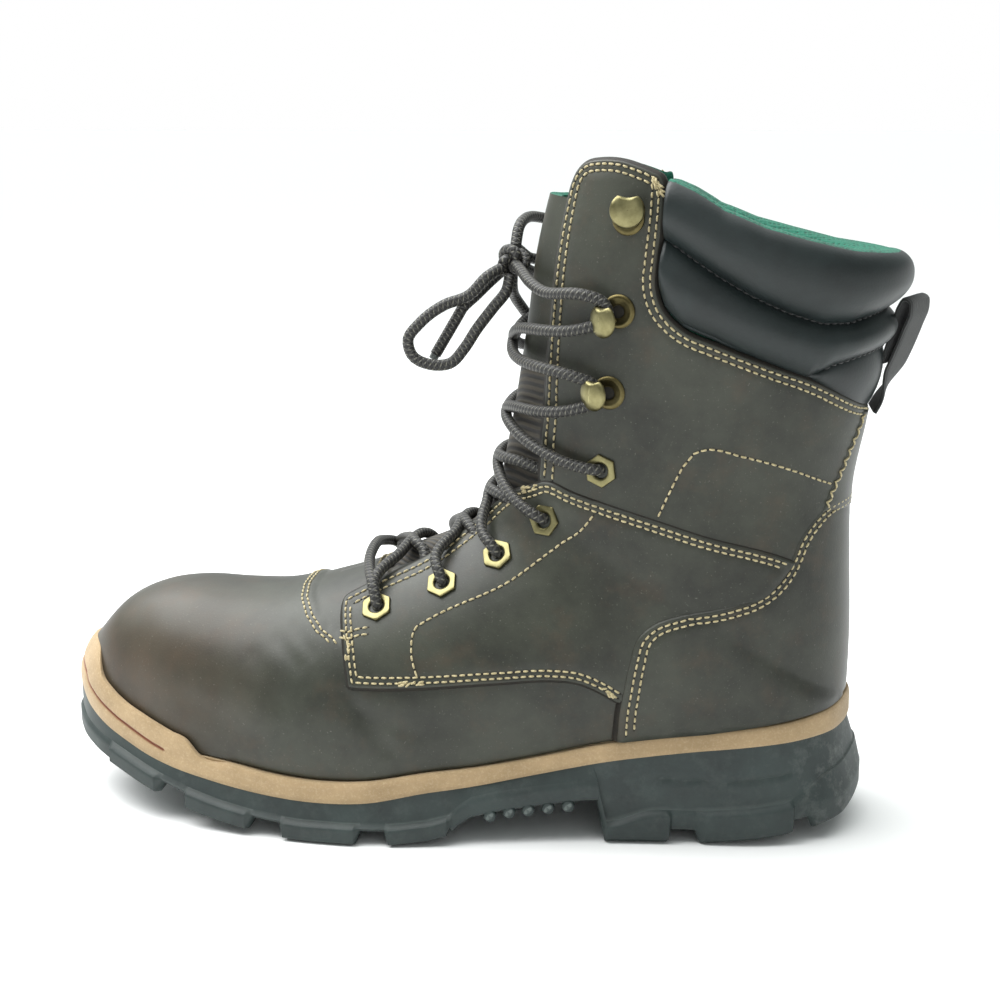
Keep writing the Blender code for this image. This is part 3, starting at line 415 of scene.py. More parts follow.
def makeCuff():
    # Coated synthetic leather, embossed: blue black, satin, with a fine even grain
    material, tree, shader, place = startMaterial("coated_synthetic_embossed", {
        "IOR": 1.5, "Specular IOR Level": 0.3, "Coat Weight": 0.2, "Coat Roughness": 0.36})
    clouds, tone = mottle(tree, place, 26, "#101616", "#1f2727")
    grain = addNode(tree, "ShaderNodeTexVoronoi", {"Scale": perMetre(0.9), "Randomness": 1.0},
                    {"Vector": place})
    finishMaterial(tree, shader, tone, clouds, (0.4, 0.52), grain, 0.12, 0.3)
    return material


def makeLining():
    # Polyester spacer knit: teal yarn round small holes about 1.7 mm apart, the holes darkened as painted
    # shade
    material, tree, shader, place = startMaterial("polyester_spacer_knit", {"IOR": 1.5, "Sheen Weight": 0.06})
    clouds, yarn = mottle(tree, place, 12, "#065340", "#0c6852")
    holes = addNode(tree, "ShaderNodeTexVoronoi", {"Scale": perMetre(1.7), "Randomness": 0.35},
                    {"Vector": place})
    # the holes darkened: painted shade inside the knit
    tone = coverWhere(tree, yarn, "#05291f", holes, 0.34, 0.14, 0.85)
    finishMaterial(tree, shader, tone, clouds, (0.75, 0.95), holes, 0.8, 0.6)
    return material


def waveScale(millimetres):  # scale of a wave texture whose lines are this far apart
    return perMetre(millimetres) * math.pi / 10


def makeWebbing():
    # Nylon webbing, woven and brushed: black with a felted nap and ribs about 1.4 mm apart
    material, tree, shader, place = startMaterial("nylon_webbing_brushed",
                                                  {"IOR": 1.53, "Sheen Weight": 0.12})
    nap, tone = mottle(tree, place, 2.0, "#0a0b0b", "#1c1e1d")
    ribs = addNode(tree, "ShaderNodeTexWave",
                   {"bands_direction": "Y", "Scale": waveScale(1.4), "Distortion": 6.0},
                   {"Vector": place}, "Fac")
    finishMaterial(tree, shader, tone, nap, (0.75, 0.95), ribs, 0.25)
    return material


def makeTwill():
    # Nylon twill, woven: dark brown with slanting lines about 1.6 mm apart, drawn coarser than real
    material, tree, shader, place = startMaterial("nylon_twill_woven", {"IOR": 1.53, "Sheen Weight": 0.1})
    weave = {"bands_direction": "DIAGONAL", "Scale": waveScale(1.6), "Distortion": 0.6, "Detail Scale": 2.0}
    lines = addNode(tree, "ShaderNodeTexWave", weave, {"Vector": place}, "Fac")
    share = addNode(tree, "ShaderNodeMapRange", {"From Min": 0.2, "From Max": 0.8}, {"Value": lines})
    finishMaterial(tree, shader, blend(tree, share, "#1d1b18", "#474239"), lines, (0.65, 0.85), lines, 0.6)
    return material


def makeBrass(name, low, high, bright):
    # Antique brass, stamped: pale olive gold, brown in the low places, softly polished
    material, tree, shader, place = startMaterial(name, {"Metallic": 1.0})
    patina, tone = mottle(tree, place, 3.5, low, high)
    shape = addNode(tree, "ShaderNodeNewGeometry", give="Pointiness")
    tone = coverWhere(tree, tone, "#4a3f22", shape, 0.49, 0.4, 0.8)
    tone = coverWhere(tree, tone, bright, shape, 0.53, 0.62, 0.6)
    marks = addNode(tree, "ShaderNodeTexNoise", {"Scale": perMetre(0.8), "Detail": 3.0}, {"Vector": place})
    finishMaterial(tree, shader, tone, patina, (0.26, 0.42), marks, 0.05, 0.2)
    return material


def makeThread(name, low, high):
    # Bonded polyester thread, twisted: a slight gloss, and plies too fine to show but for their tone
    return makeSpotted(name, {"IOR": 1.55, "Sheen Weight": 0.2}, 0.7, low, high, (0.5, 0.65), 0.4, 0.2)


# pitch of the plaits in millimetres
braid = {"pitch": 2.0, "strands": 3, "low": "#100f0e", "high": "#2b2a27", "fleck": "#666458"}


def makeLaceYarn():
    # Polyester lace, braided round a core: dark brown plaits that cross, with pale flecks in one set of them
    material, tree, shader = startMaterial("polyester_lace_braided", {
        "IOR": 1.55, "Coat Weight": 0.2, "Coat Roughness": 0.35})[:3]
    where = addNode(tree, "ShaderNodeUVMap", {"uv_map": "along"})
    along = addNode(tree, "ShaderNodeSeparateXYZ", None, {"Vector": where}, "X")
    around = along.node.outputs["Y"]
    ways = []
    for turn in (1, -1):
        wound = addNode(tree, "ShaderNodeMath",
                        {"operation": "MULTIPLY", 1: turn * braid["strands"] * 2 * math.pi},
                        {0: around})
        angle = addNode(tree, "ShaderNodeMath",
                        {"operation": "MULTIPLY_ADD", 1: 2 * math.pi / braid["pitch"]},
                        {0: along, 2: wound})
        ways.append(addNode(tree, "ShaderNodeMath", {"operation": "SINE"}, {0: angle}))
    ridge = addNode(tree, "ShaderNodeMath", {"operation": "MAXIMUM"}, {0: ways[0], 1: ways[1]})
    share = addNode(tree, "ShaderNodeMapRange", {"From Min": 0.1, "From Max": 1.0}, {"Value": ridge})
    onPlait = addNode(tree, "ShaderNodeMapRange", {"From Min": 0.72, "From Max": 0.9}, {"Value": ways[0]})
    between = addNode(tree, "ShaderNodeMapRange", {"From Min": 0.35, "From Max": -0.1}, {"Value": ways[1]})
    fleck = addNode(tree, "ShaderNodeMath", {"operation": "MULTIPLY"}, {0: onPlait, 1: between})
    tone = cover(tree, blend(tree, share, braid["low"], braid["high"]), braid["fleck"], fleck)
    finishMaterial(tree, shader, tone, share, (0.75, 0.55), share, 0.7, 0.5)
    return material


nubuck = makeNubuck()
# Leather cut and stained black, with loose fibres: a dull dark line round each panel, partly edge stain and
# partly painted shade under the edge; the same dark serves as painted shade in eyelet wells, hook holes and
# needle holes
edgeStainAndShade = makeSpotted("leather_edge_stain_and_painted_shade", {"IOR": 1.45}, 1.2, "#0f0e0b", "#262118", (0.6, 0.8),
                      0.4)
rubber = makeRubber()
tanFoam = makeStrip()
cuffSkin = makeCuff()
meshLining = makeLining()
webbing = makeWebbing()
twill = makeTwill()
brass = makeBrass("antique_brass_stamped", "#726d4c", "#908a65", "#b0aa80")
# darker copy for the hook bases: partly blackened brass, partly painted shade under the caps
brassBlackenedAndShaded = makeBrass("antique_brass_blackened_and_painted_shade", "#4c4630", "#6f6747", "#a39a70")
thread = makeThread("polyester_thread_gold", "#8f8059", "#c6b98f")
blackThread = makeThread("polyester_thread_black", "#070808", "#151616")
laceYarn = makeLaceYarn()
# Acetate film, wrapped round the lace's end: smoky grey and glossy, with the braid showing through
tipPlastic = makeSpotted("acetate_film_wrapped", {"IOR": 1.47, "Coat Weight": 0.4, "Coat Roughness": 0.15},
                         1.5, "#3b3f3d", "#767c79", (0.3, 0.42), 0.06)
# Polyester felt on a foam board: grey green, dull and fibrous
board = makeSpotted("polyester_felt_bonded", {"IOR": 1.5, "Sheen Weight": 0.3}, 2.2, "#29443e", "#46645c",
                    (0.85, 0.97), 0.5)
print("materials: 15")


# Sole form

soleForm = {
    "length": 311.5,
    "toeX": -157.0,
    "ballHalfWidth": 58.0,
    # distance from the toe, reach of the outer and of the inner edge
    "outline": (
        (0, -5, 5), (3, 6, 16), (10, 17.5, 26.5), (18, 25.5, 33), (28, 32, 38.5), (43, 40.5, 43.5),
        (63, 48, 47.5), (83, 53, 49.5), (108, 57, 50), (130, 58, 48.5), (158, 54.5, 42), (188, 49, 36.5),
        (218, 45, 36), (248, 43, 39.5), (273, 41.5, 41), (291, 36, 36.5), (304, 24, 24.5), (309.5, 11, 11.5),
        (311.5, 0, 0),
    ),
    # x, then heights of the outsole's top, the seat and the rim
    "heights": (
        (-158, 43.5, 44.5, 60), (-152, 40, 42, 60), (-147, 36, 39.8, 58.5), (-143.5, 34, 38.9, 54.5),
        (-140, 32.2, 38, 49.8), (-134, 29.4, 36.4, 45.8), (-126, 26.4, 33.6, 41.6), (-118, 23.8, 31.2, 38.8),
        (-106, 20.8, 28, 34.6), (-99, 19.5, 26.6, 32.2), (-94.5, 18.8, 26.6, 27.6), (-80, 16.6, 25.4, 25.6),
        (-65, 14.9, 23.4, 23.5), (-48, 14, 22.1, 22.3), (-28, 14.9, 22.8, 23.1), (-8, 18.6, 25.9, 26.3),
        (14, 21.7, 28.4, 28.8), (36, 25.8, 32.2, 32.6), (58, 30, 36.8, 37.2), (80, 33.3, 40.2, 40.6),
        (102, 36, 42.8, 43.2), (123, 38, 45.3, 45.7), (140, 39.2, 47.9, 48.4), (157, 38.6, 50.4, 51.2),
    ),
    "tread": (
        (-158, 25.5), (-150, 22), (-131, 16.2), (-111, 10), (-98, 6.4), (-85, 3.6), (-73, 1.7), (-60, 0.4),
        (-52, 0), (-18, 0), (-5, 1.4), (3, 3.5), (6, 7), (11, 10.3), (22, 12.4), (36, 14.2), (52, 16.1),
        (57.5, 16.1), (60.5, 0), (98, 0), (116, 1.6), (128, 3.2), (138, 4.6), (147, 5.8), (152, 8.2),
        (155, 11),
    ),
    # front, back and whether the lug has a raised panel
    "lugs": (
        (-170, -131, 0), (-134, -111, 1), (-99, -73, 1), (-60, -31, 1), (-20, 3, 1), (3, 59, 0), (59, 84, 1),
        (95, 129, 1), (137, 170, 1),
    ),
    # how far a layer is set in at the toe, heel and sides
    "whole": (0.0, 0.0, 0.0),
    "joint": (1.0, 4.0, 3.0),
    "swell": (0.4, 3.2, 2.0),
    "rim": (3.4, 5.6, 4.6),
    "tray": (3.1, 5.3, 4.3),
    "feather": (4.0, 6.0, 5.2),
    "insole": (8.0, 10.0, 9.0),
}
outlineTable = np.array(soleForm["outline"], float)
heightTable = np.array(soleForm["heights"], float)
treadTable = np.array(soleForm["tread"], float)
outlineTurn = np.arccos(1 - 2 * outlineTable[:, 0] / soleForm["length"]) / math.pi
outlineReach = {side: curveThrough(outlineTurn, outlineTable[:, k + 1]) for k, side in enumerate(sides)}
heightAt = {name: curveThrough(heightTable[:, 0], heightTable[:, k + 1])
            for k, name in enumerate(("joint", "seat", "rim"))}


def soleEdge(t, side, ring):  # t runs from the toe, 0, to the heel, 1
    toe, heel, setIn = ring
    x = soleForm["toeX"] + toe + (1 - np.cos(math.pi * t)) / 2 * (soleForm["length"] - toe - heel)
    return x, side * outlineReach[side](t) * (1 - setIn / soleForm["ballHalfWidth"])


def soleTurn(x, ring):
    toe, heel, setIn = ring
    share = np.clip((x - soleForm["toeX"] - toe) / (soleForm["length"] - toe - heel), 0, 1)
    return np.arccos(1 - 2 * share) / math.pi


def treadAt(x):
    return np.interp(x, treadTable[:, 0], treadTable[:, 1])


def soleLine(t, side, ring, height):  # points round the sole, their height read at x
    x, y = soleEdge(t, side, ring)
    return np.stack([x, y, height(x)], axis=-1)


# Upper form: sections from the ridge or front line to the seat or back line

upperForm = {
    # ridge x z, base x z, half widths outer and inner, place of the widest point,
    # crown, foot, half throat, middle
    "sections": (
        (-153, 41.0, -153, 0, 0, 0, 0.85, 2.3, 2, 0, 4.5),
        (-151, 54.5, -151.5, 0, 0, 0, 0.85, 2.3, 2, 0, 4.3),
        (-145, 63.8, -146.5, 0, 0, 0, 0.85, 2.3, 2, 0, 4.0),
        (-134, 75.2, -136, 0, 0, 0, 0.85, 2.35, 2, 0, 3.4),
        (-120, 81.8, -122, 0, 0, 0, 0.85, 2.4, 2, 0, 2.6),
        (-104, 84.2, -105, 0, 0, 0, 0.85, 2.4, 2, 0, 1.6),
        (-86, 83.8, -86, 0, 0, 0, 0.82, 2.3, 2, 0, 0.8),
        (-68, 84.6, -66, 0, 51.5, 46.5, 0.80, 2.2, 2, 0, 0),
        (-50, 89.6, -44, 0, 53.5, 47, 0.80, 2.1, 2, 0, 0),
        (-31, 95.6, -18, 0, 53.5, 45, 0.78, 2.0, 2, 13, 0),
        (-13, 102.0, 12, 0, 51, 42.5, 0.74, 2.0, 2, 14.5, 0),
        (2, 108.5, 47, 0, 48, 41.5, 0.70, 2.0, 2, 16, 0),
        (10, 114.5, 86, 0, 45.5, 41.5, 0.66, 2.0, 2, 17.5, 0),
        (14, 120.5, 118, 0, 44, 41.5, 0.62, 2.05, 2.1, 19, 0),
        (16, 126.0, 138, 0, 43, 41.2, 0.58, 2.1, 2.2, 20.5, 0),
        (17.3, 130.5, 146.5, 0, 42.5, 41, 0.56, 2.1, 2.2, 21.5, 0),
        (18.1, 134.0, 148.5, 0, 42.2, 41, 0.55, 2.1, 2.2, 22.5, 0),
        (19.0, 138.5, 149.0, 72, 42, 40.8, 0.54, 2.1, 2.2, 23, 0),
        (20, 144.0, 147.8, 103, 41.5, 40.5, 0.53, 2.15, 2.2, 23.5, 0),
        (21.3, 151.0, 147.4, 130, 41.5, 40.8, 0.52, 2.2, 2.2, 23.5, 0),
        (22.8, 159.0, 151.5, 155, 42.5, 42, 0.52, 2.2, 2.25, 23.5, 0),
        (25.2, 175, 154.0, 175, 44, 43.5, 0.52, 2.2, 2.3, 23, 0),
        (28, 195, 156.0, 195, 45.5, 45, 0.52, 2.2, 2.3, 22.5, 0),
        (30.5, 215, 158.5, 215, 46.5, 46, 0.52, 2.2, 2.3, 22.5, 0),
        (35, 235, 161.0, 235, 47, 46.5, 0.52, 2.2, 2.3, 22, 0),
        (41, 256, 163.0, 256, 47, 47, 0.52, 2.2, 2.3, 22, 0),
    ),
    "heelRow": 16,
    "topRow": 25,
    "lastingGap": 0.7,
    "plugEnd": 9.25,  # row at which the leather over the throat ends
}
sectionTable = np.array(upperForm["sections"], float)
onSeat = np.arange(len(sectionTable)) <= upperForm["heelRow"]
sectionTable[onSeat, 3] = heightAt["seat"](sectionTable[onSeat, 2]) + upperForm["lastingGap"]
for k in np.flatnonzero(sectionTable[:, 4] == 0):  # the toe is as wide as the sole
    t = soleTurn(sectionTable[k, 2], soleForm["feather"])
    sectionTable[k, 4] = -soleEdge(t, outer, soleForm["feather"])[1]
    sectionTable[k, 5] = soleEdge(t, inner, soleForm["feather"])[1]
sectionRead = curveThrough(np.arange(len(sectionTable)), sectionTable)


def sectionAt(s):
    s = np.asarray(s, float)
    part = list(np.moveaxis(sectionRead(s), -1, 0))
    part[3] = np.where(s <= upperForm["heelRow"], heightAt["seat"](part[2]) + upperForm["lastingGap"],
                       part[3])
    return part


def halfWidths(s, part, side):
    reach = side * soleEdge(soleTurn(part[2], soleForm["feather"]), side, soleForm["feather"])[1]
    base = np.where(np.asarray(s) < upperForm["heelRow"], reach, 0.0)
    base = np.maximum(base - side * part[10], 0.0)
    wide = part[4] if side == outer else part[5]
    return np.maximum(wide - side * part[10], base), base


def upperPoint(s, turn, side):  # turn runs from the ridge, 0, over the side to the base, pi
    part = sectionAt(s)
    wide, base = halfWidths(s, part, side)
    cosine, sine = np.cos(turn), np.maximum(np.sin(turn), 0.0)
    up, low = np.maximum(cosine, 0), np.maximum(-cosine, 0)
    crown, foot, widest = part[7], part[8], part[6]
    down = np.where(cosine >= 0, widest * (1 - up ** (2 / crown)), widest + (1 - widest) * low ** (2 / foot))
    out = np.where(cosine >= 0, wide * sine ** (2 / crown), base + (wide - base) * sine ** (2 / foot))
    x = part[0] + (part[2] - part[0]) * down
    z = part[1] + (part[3] - part[1]) * down
    return np.stack([x, part[10] + side * out, z], axis=-1)


def turnAt(s, reach, side):
    part = sectionAt(s)
    wide = halfWidths(s, part, side)[0]
    return np.arcsin(np.clip(reach / np.maximum(wide, 1e-6), 0, 1) ** (part[7] / 2))


def crownPoint(s, y):  # on the closed form over the throat
    s, y = np.broadcast_arrays(np.asarray(s, float), np.asarray(y, float))
    left = upperPoint(s, turnAt(s, np.abs(y), outer), outer)
    right = upperPoint(s, turnAt(s, np.abs(y), inner), inner)
    return np.where((y < 0)[..., None], left, right)


def crownNormal(s, y):
    along = crownPoint(s + 0.05, y) - crownPoint(s - 0.05, y)
    across = crownPoint(s, y + 0.5) - crownPoint(s, y - 0.5)
    normal = unit(np.cross(along, across))
    part = sectionAt(s)
    middle = np.stack([part[0] + part[2], 0 * part[0], part[1] + part[3]], axis=-1) / 2
    inward = np.sum(normal * (crownPoint(s, y) - middle), axis=-1) < 0
    return np.where(inward[..., None], -normal, normal)


def lifted(row, y, lift):
    return crownPoint(row, y) + crownNormal(row, y) * lift


# Closed form of the upper for laying panels, seams and fittings on it

layForm = {"rows": 300, "columns": 90, "firstRow": 0.02}
# how far out rays start, and how far in the nearest place is looked for
landing = {"from": 200.0, "nearest": 150.0}


def buildLayForm():
    s = np.linspace(layForm["firstRow"], upperForm["topRow"], layForm["rows"])
    ss, tt = np.meshgrid(s, np.linspace(0, math.pi, layForm["columns"]), indexing="ij")
    points, faces, normals = [], [], []
    for side in sides:
        grid = upperPoint(ss, tt, side)
        quads = gridFaces(*ss.shape) + len(points) * ss.size
        points.append(grid.reshape(-1, 3))
        normals.append(gridNormals(grid, side).reshape(-1, 3))
        faces.append(np.concatenate([quads[:, [0, 1, 2]], quads[:, [0, 2, 3]]]))
    points, normals, faces = np.concatenate(points), np.concatenate(normals), np.concatenate(faces)
    return BVHTree.FromPolygons(points.tolist(), faces.tolist()), points, normals, faces


layTree, layPoints, layNormals, layFaces = buildLayForm()


def landOn(origins, ways):
    hits, normals = [], []
    for origin, way in zip(origins, ways):
        # no further than the middle, so that no ray lands on the far wall
        hit, flat, face, far = layTree.ray_cast(Vector(origin), Vector(way), landing["from"])
        if hit is None:
            hit, flat, face, far = layTree.find_nearest(Vector(origin) + Vector(way) * landing["nearest"])
        hit = np.array(hit)
        corners = layFaces[face]
        a, b, c = layPoints[corners]
        share = np.array([np.linalg.norm(np.cross(p - hit, q - hit)) for p, q in ((b, c), (c, a), (a, b))])
        area = max(np.linalg.norm(np.cross(b - a, c - a)), 1e-9)
        hits.append(hit)
        normals.append(share / area @ layNormals[corners])
    return np.array(hits), unit(np.array(normals))


def sideChart(side):  # flat view from the side: x, z
    def lay(places):
        places = np.asarray(places, float)
        origins = np.stack([places[:, 0], np.full(len(places), side * landing["from"]), places[:, 1]], axis=1)
        return landOn(origins, np.tile((0.0, -side, 0.0), (len(places), 1)))
    return lay


roundAxis = {"x": 95.0, "radius": 45.0}


def roundChart(places):  # unrolled round an upright axis in the heel: arc, z
    places = np.asarray(places, float)
    angle = places[:, 0] / roundAxis["radius"]
    ways = np.stack([np.cos(angle), np.sin(angle), np.zeros(len(angle))], axis=1)
    origins = np.array((roundAxis["x"], 0, 0)) + ways * landing["from"] + np.outer(places[:, 1], (0, 0, 1))
    return landOn(origins, -ways)


def toRound(points):
    angle = np.arctan2(points[:, 1], points[:, 0] - roundAxis["x"])
    return np.stack([angle * roundAxis["radius"], points[:, 2]], axis=1)


def roundLine(line, side):  # a line in the side view, unrolled
    return toRound(sideChart(side)(line)[0])


def wallPlace(x, z, side):  # row and turn of the form at a place in the side view
    ss, tt = np.meshgrid(np.arange(8, 25, 0.1), np.arange(0.1, 3.05, 0.04), indexing="ij")
    grid = upperPoint(ss, tt, side)
    k = np.argmin(np.hypot(grid[..., 0] - x, grid[..., 2] - z))
    s, turn = ss.flat[k], tt.flat[k]
    for step in range(8):
        here = upperPoint(s, turn, side)[[0, 2]] - (x, z)
        bySection = (upperPoint(s + 0.01, turn, side)[[0, 2]] - (x, z) - here) / 0.01
        byTurn = (upperPoint(s, turn + 0.01, side)[[0, 2]] - (x, z) - here) / 0.01
        move = np.linalg.lstsq(np.stack([bySection, byTurn], axis=1), -here, rcond=None)[0]
        s = float(np.clip(s + np.clip(move[0], -0.3, 0.3), 6, 24.9))
        turn = float(np.clip(turn + np.clip(move[1], -0.2, 0.2), 0.05, 3.1))
    return s, turn


def seatFrame(place, side, lift):  # origin, towards the throat, along it, out
    s, turn = wallPlace(*place, side)
    ahead = upperPoint(s, turn - 0.02, side) - upperPoint(s, turn + 0.02, side)
    up = upperPoint(s + 0.05, turn, side) - upperPoint(s - 0.05, turn, side)
    out = unit(np.cross(up, ahead))
    out = out if out[1] * side > 0 else -out
    ahead = unit(ahead - out * (ahead @ out))
    along = np.cross(out, ahead)
    along = along if along[2] > 0 else -along
    return upperPoint(s, turn, side) + out * lift, ahead, along, out


print("forms: sole, upper and the surface that panels lie on")


# Laces

laces = {
    "thick": 4.2,
    "tipThick": 3.4,
    "tipStart": 0.35,
    "knot": (22.75, -3.0, 9.0),  # row, across, above the leather
    "knotHalf": np.array((6.0, 6.8, 6.0)),
    "knotGap": 0.2,
    "eyelets": ((-26.0, 83.5), (-1.8, 92.7), (18.8, 103.6), (36.8, 118.7), (56.9, 139.6)),
    "hooks": ((59.5, 168.2), (62.7, 197.2), (65.6, 229.4)),
    "innerLoop": (
        (23.3, 4, 9.8), (23.45, 11, 10), (23.45, 19, 10), (23.3, 27, 9.5), (23, 30.5, 9.5), (22.75, 27, 10),
        (22.7, 19, 10.5), (22.9, 12, 12.5),
    ),
    "innerEnd": ((22.3, 4, 9.2), (22.05, 10, 10.0), (21.75, 17, 10.2), (21.4, 23, 10.2), (20.95, 27, 10.0)),
    "innerTip": (20.1, 31, 10.0),
    "outerLoop": (
        (12.5, -12, 206.2), (5.3, -13, 199.0), (-3.4, -15, 195.7), (-12.1, -17, 189.2), (-16.5, -18, 183.0),
        (-15.0, -18.5, 177.5), (-7.2, -18.5, 173.9), (-0.5, -18, 174.7), (4.2, -17, 179.8), (8.8, -15, 187.0),
        (14.5, -12.0, 194.6), (19.3, -9.8, 201.0),
    ),
    "outerEnd": ((13.4, -2.5, 204.5), (7.4, -7.5, 198.6), (2.6, -10.9, 193.8), (1.4, -11.2, 191.6)),
    "outerTip": (-8.1, -12.5, 175.3),
}
knotMiddle = lifted(*laces["knot"])


def fromKnot(toward):
    ahead = unit(np.asarray(toward, float) - knotMiddle)
    return knotMiddle + ahead * (1 / np.linalg.norm(ahead / laces["knotHalf"]) + laces["knotGap"])


def addTube(name, route, nodes, radius=laces["thick"] / 2, material=laceYarn,
            count=14):
    tangent = unit(np.gradient(route, axis=0))
    normal = np.cross(tangent[0], (0.3, 0.2, 1.0))
    frames = []
    for way in tangent:  # carry the normal along without twist
        normal = unit(normal - way * (normal @ way))
        frames.append(normal)
    frames = np.array(frames)
    beside = np.cross(tangent, frames)
    angle = anglesRound(count)[None, :, None]
    points = route[:, None] + radius * (frames[:, None] * np.cos(angle) + beside[:, None] * np.sin(angle))
    run = runAlong(route)
    i, j = np.meshgrid(np.arange(len(route) - 1), np.arange(count), indexing="ij")
    corners = [np.stack([run[i + a], (j + b) / count], -1) for a, b in ((0, 0), (1, 0), (1, 1), (0, 1))]
    uv = np.stack(corners, axis=2).reshape(-1, 2).tolist()
    for end in (0, -1):
        uv += [[run[end], 0.5]] * count
    faces = tubeFaces(len(route), count)
    return addPiece(name, points, faces, [material], nodes, cornerUv=uv, sharp=60)


def addBow():
    bow = {
        "outer": [np.array(laces[key], float) for key in ("outerLoop", "outerEnd", "outerTip")],
        "inner": [np.array([lifted(*p) for p in laces[key]]) for key in ("innerLoop", "innerEnd")]
        + [lifted(*laces["innerTip"])],
    }
    for name, (loop, end, tip) in bow.items():
        route = smoothRoute([fromKnot(loop[0]), *loop, fromKnot(loop[-1])], 1.5)
        piece = addTube(f"bow_loop_{name}", route, [f"lace_loop_{name}"])
        ahead = unit(tip - end[-1])
        tipRoute = spaced([end[-1] + ahead * laces["tipStart"], tip], 1.0)
        tipPiece = addTube(f"bow_tip_{name}", tipRoute, [f"lace_tip_{name}"], laces["tipThick"] / 2,
                           tipPlastic)
        route = smoothRoute([fromKnot(end[0]), *end, end[-1] + ahead * 4, tip - ahead * 2], 1.5)
        piece = addTube(f"bow_end_{name}", route, [f"lace_end_{name}"])


addBow()
print("bow: loops, ends and tips")


# Sole pieces

soleRubber = {
    "stations": 300,
    "lugDepth": 5.0,
    "lugPanel": 6.0,  # height of the raised panels, taller round the heel
    "heelPanel": 11.0,
    "lugRaise": 1.8,
    "lugBevel": (0.6, 2.2),  # forefoot, heel
    "stepIn": 1.2,
    "stepUp": 1.6,
    "lugSlope": 2.0,
    "grooveEnds": ((-128, 0), (64, 132)),
    "nubs": ((17.7, 10.5), (24.7, 11.7), (31.7, 12.4), (39.0, 13.1), (46.4, 13.8)),
    "nubRadius": 2.3,
    "nubOut": 1.3,
    "heelLine": ((80, 24.6), (92, 24.0), (107.6, 23.8), (118, 24.8), (128, 26.6)),
}


def lugShare(x, raisedOnly):
    share = np.zeros_like(x)
    for front, back, raised in soleForm["lugs"]:
        if raised or not raisedOnly:
            within = np.minimum(x - front, back - x) / soleRubber["lugSlope"]
            share = np.maximum(share, np.clip(within + 0.5, 0, 1))
    return share


def lineDistance(x, z, line):  # distance in the side view from an open line
    best = np.full(np.shape(x), 1e9)
    line = np.asarray(line, float)
    for (ax, az), (bx, bz) in zip(line[:-1], line[1:]):
        run = max((bx - ax) ** 2 + (bz - az) ** 2, 1e-9)
        f = np.clip(((x - ax) * (bx - ax) + (z - az) * (bz - az)) / run, 0, 1)
        best = np.minimum(best, np.hypot(x - ax - f * (bx - ax), z - az - f * (bz - az)))
    return best


def soleStations():
    marks = [row[0] for row in soleForm["tread"] if 0 < row[0] < 62]
    for front, back, raised in soleForm["lugs"]:
        for end in (front, back):
            marks += [end + shift for shift in (-1.3, -1.0, -0.75, 0.75, 1.0, 1.3)]
    spread = soleEdge(np.linspace(0, 1, soleRubber["stations"]), outer, soleForm["whole"])[0]
    marks = [mark for mark in marks if spread[3] < mark < spread[-4]]
    kept = sorted(marks)
    for x in spread:
        if min(abs(x - mark) for mark in marks) > 0.5 or x in (spread[0], spread[-1]):
            kept.append(x)
    return np.array(sorted(set(kept)))


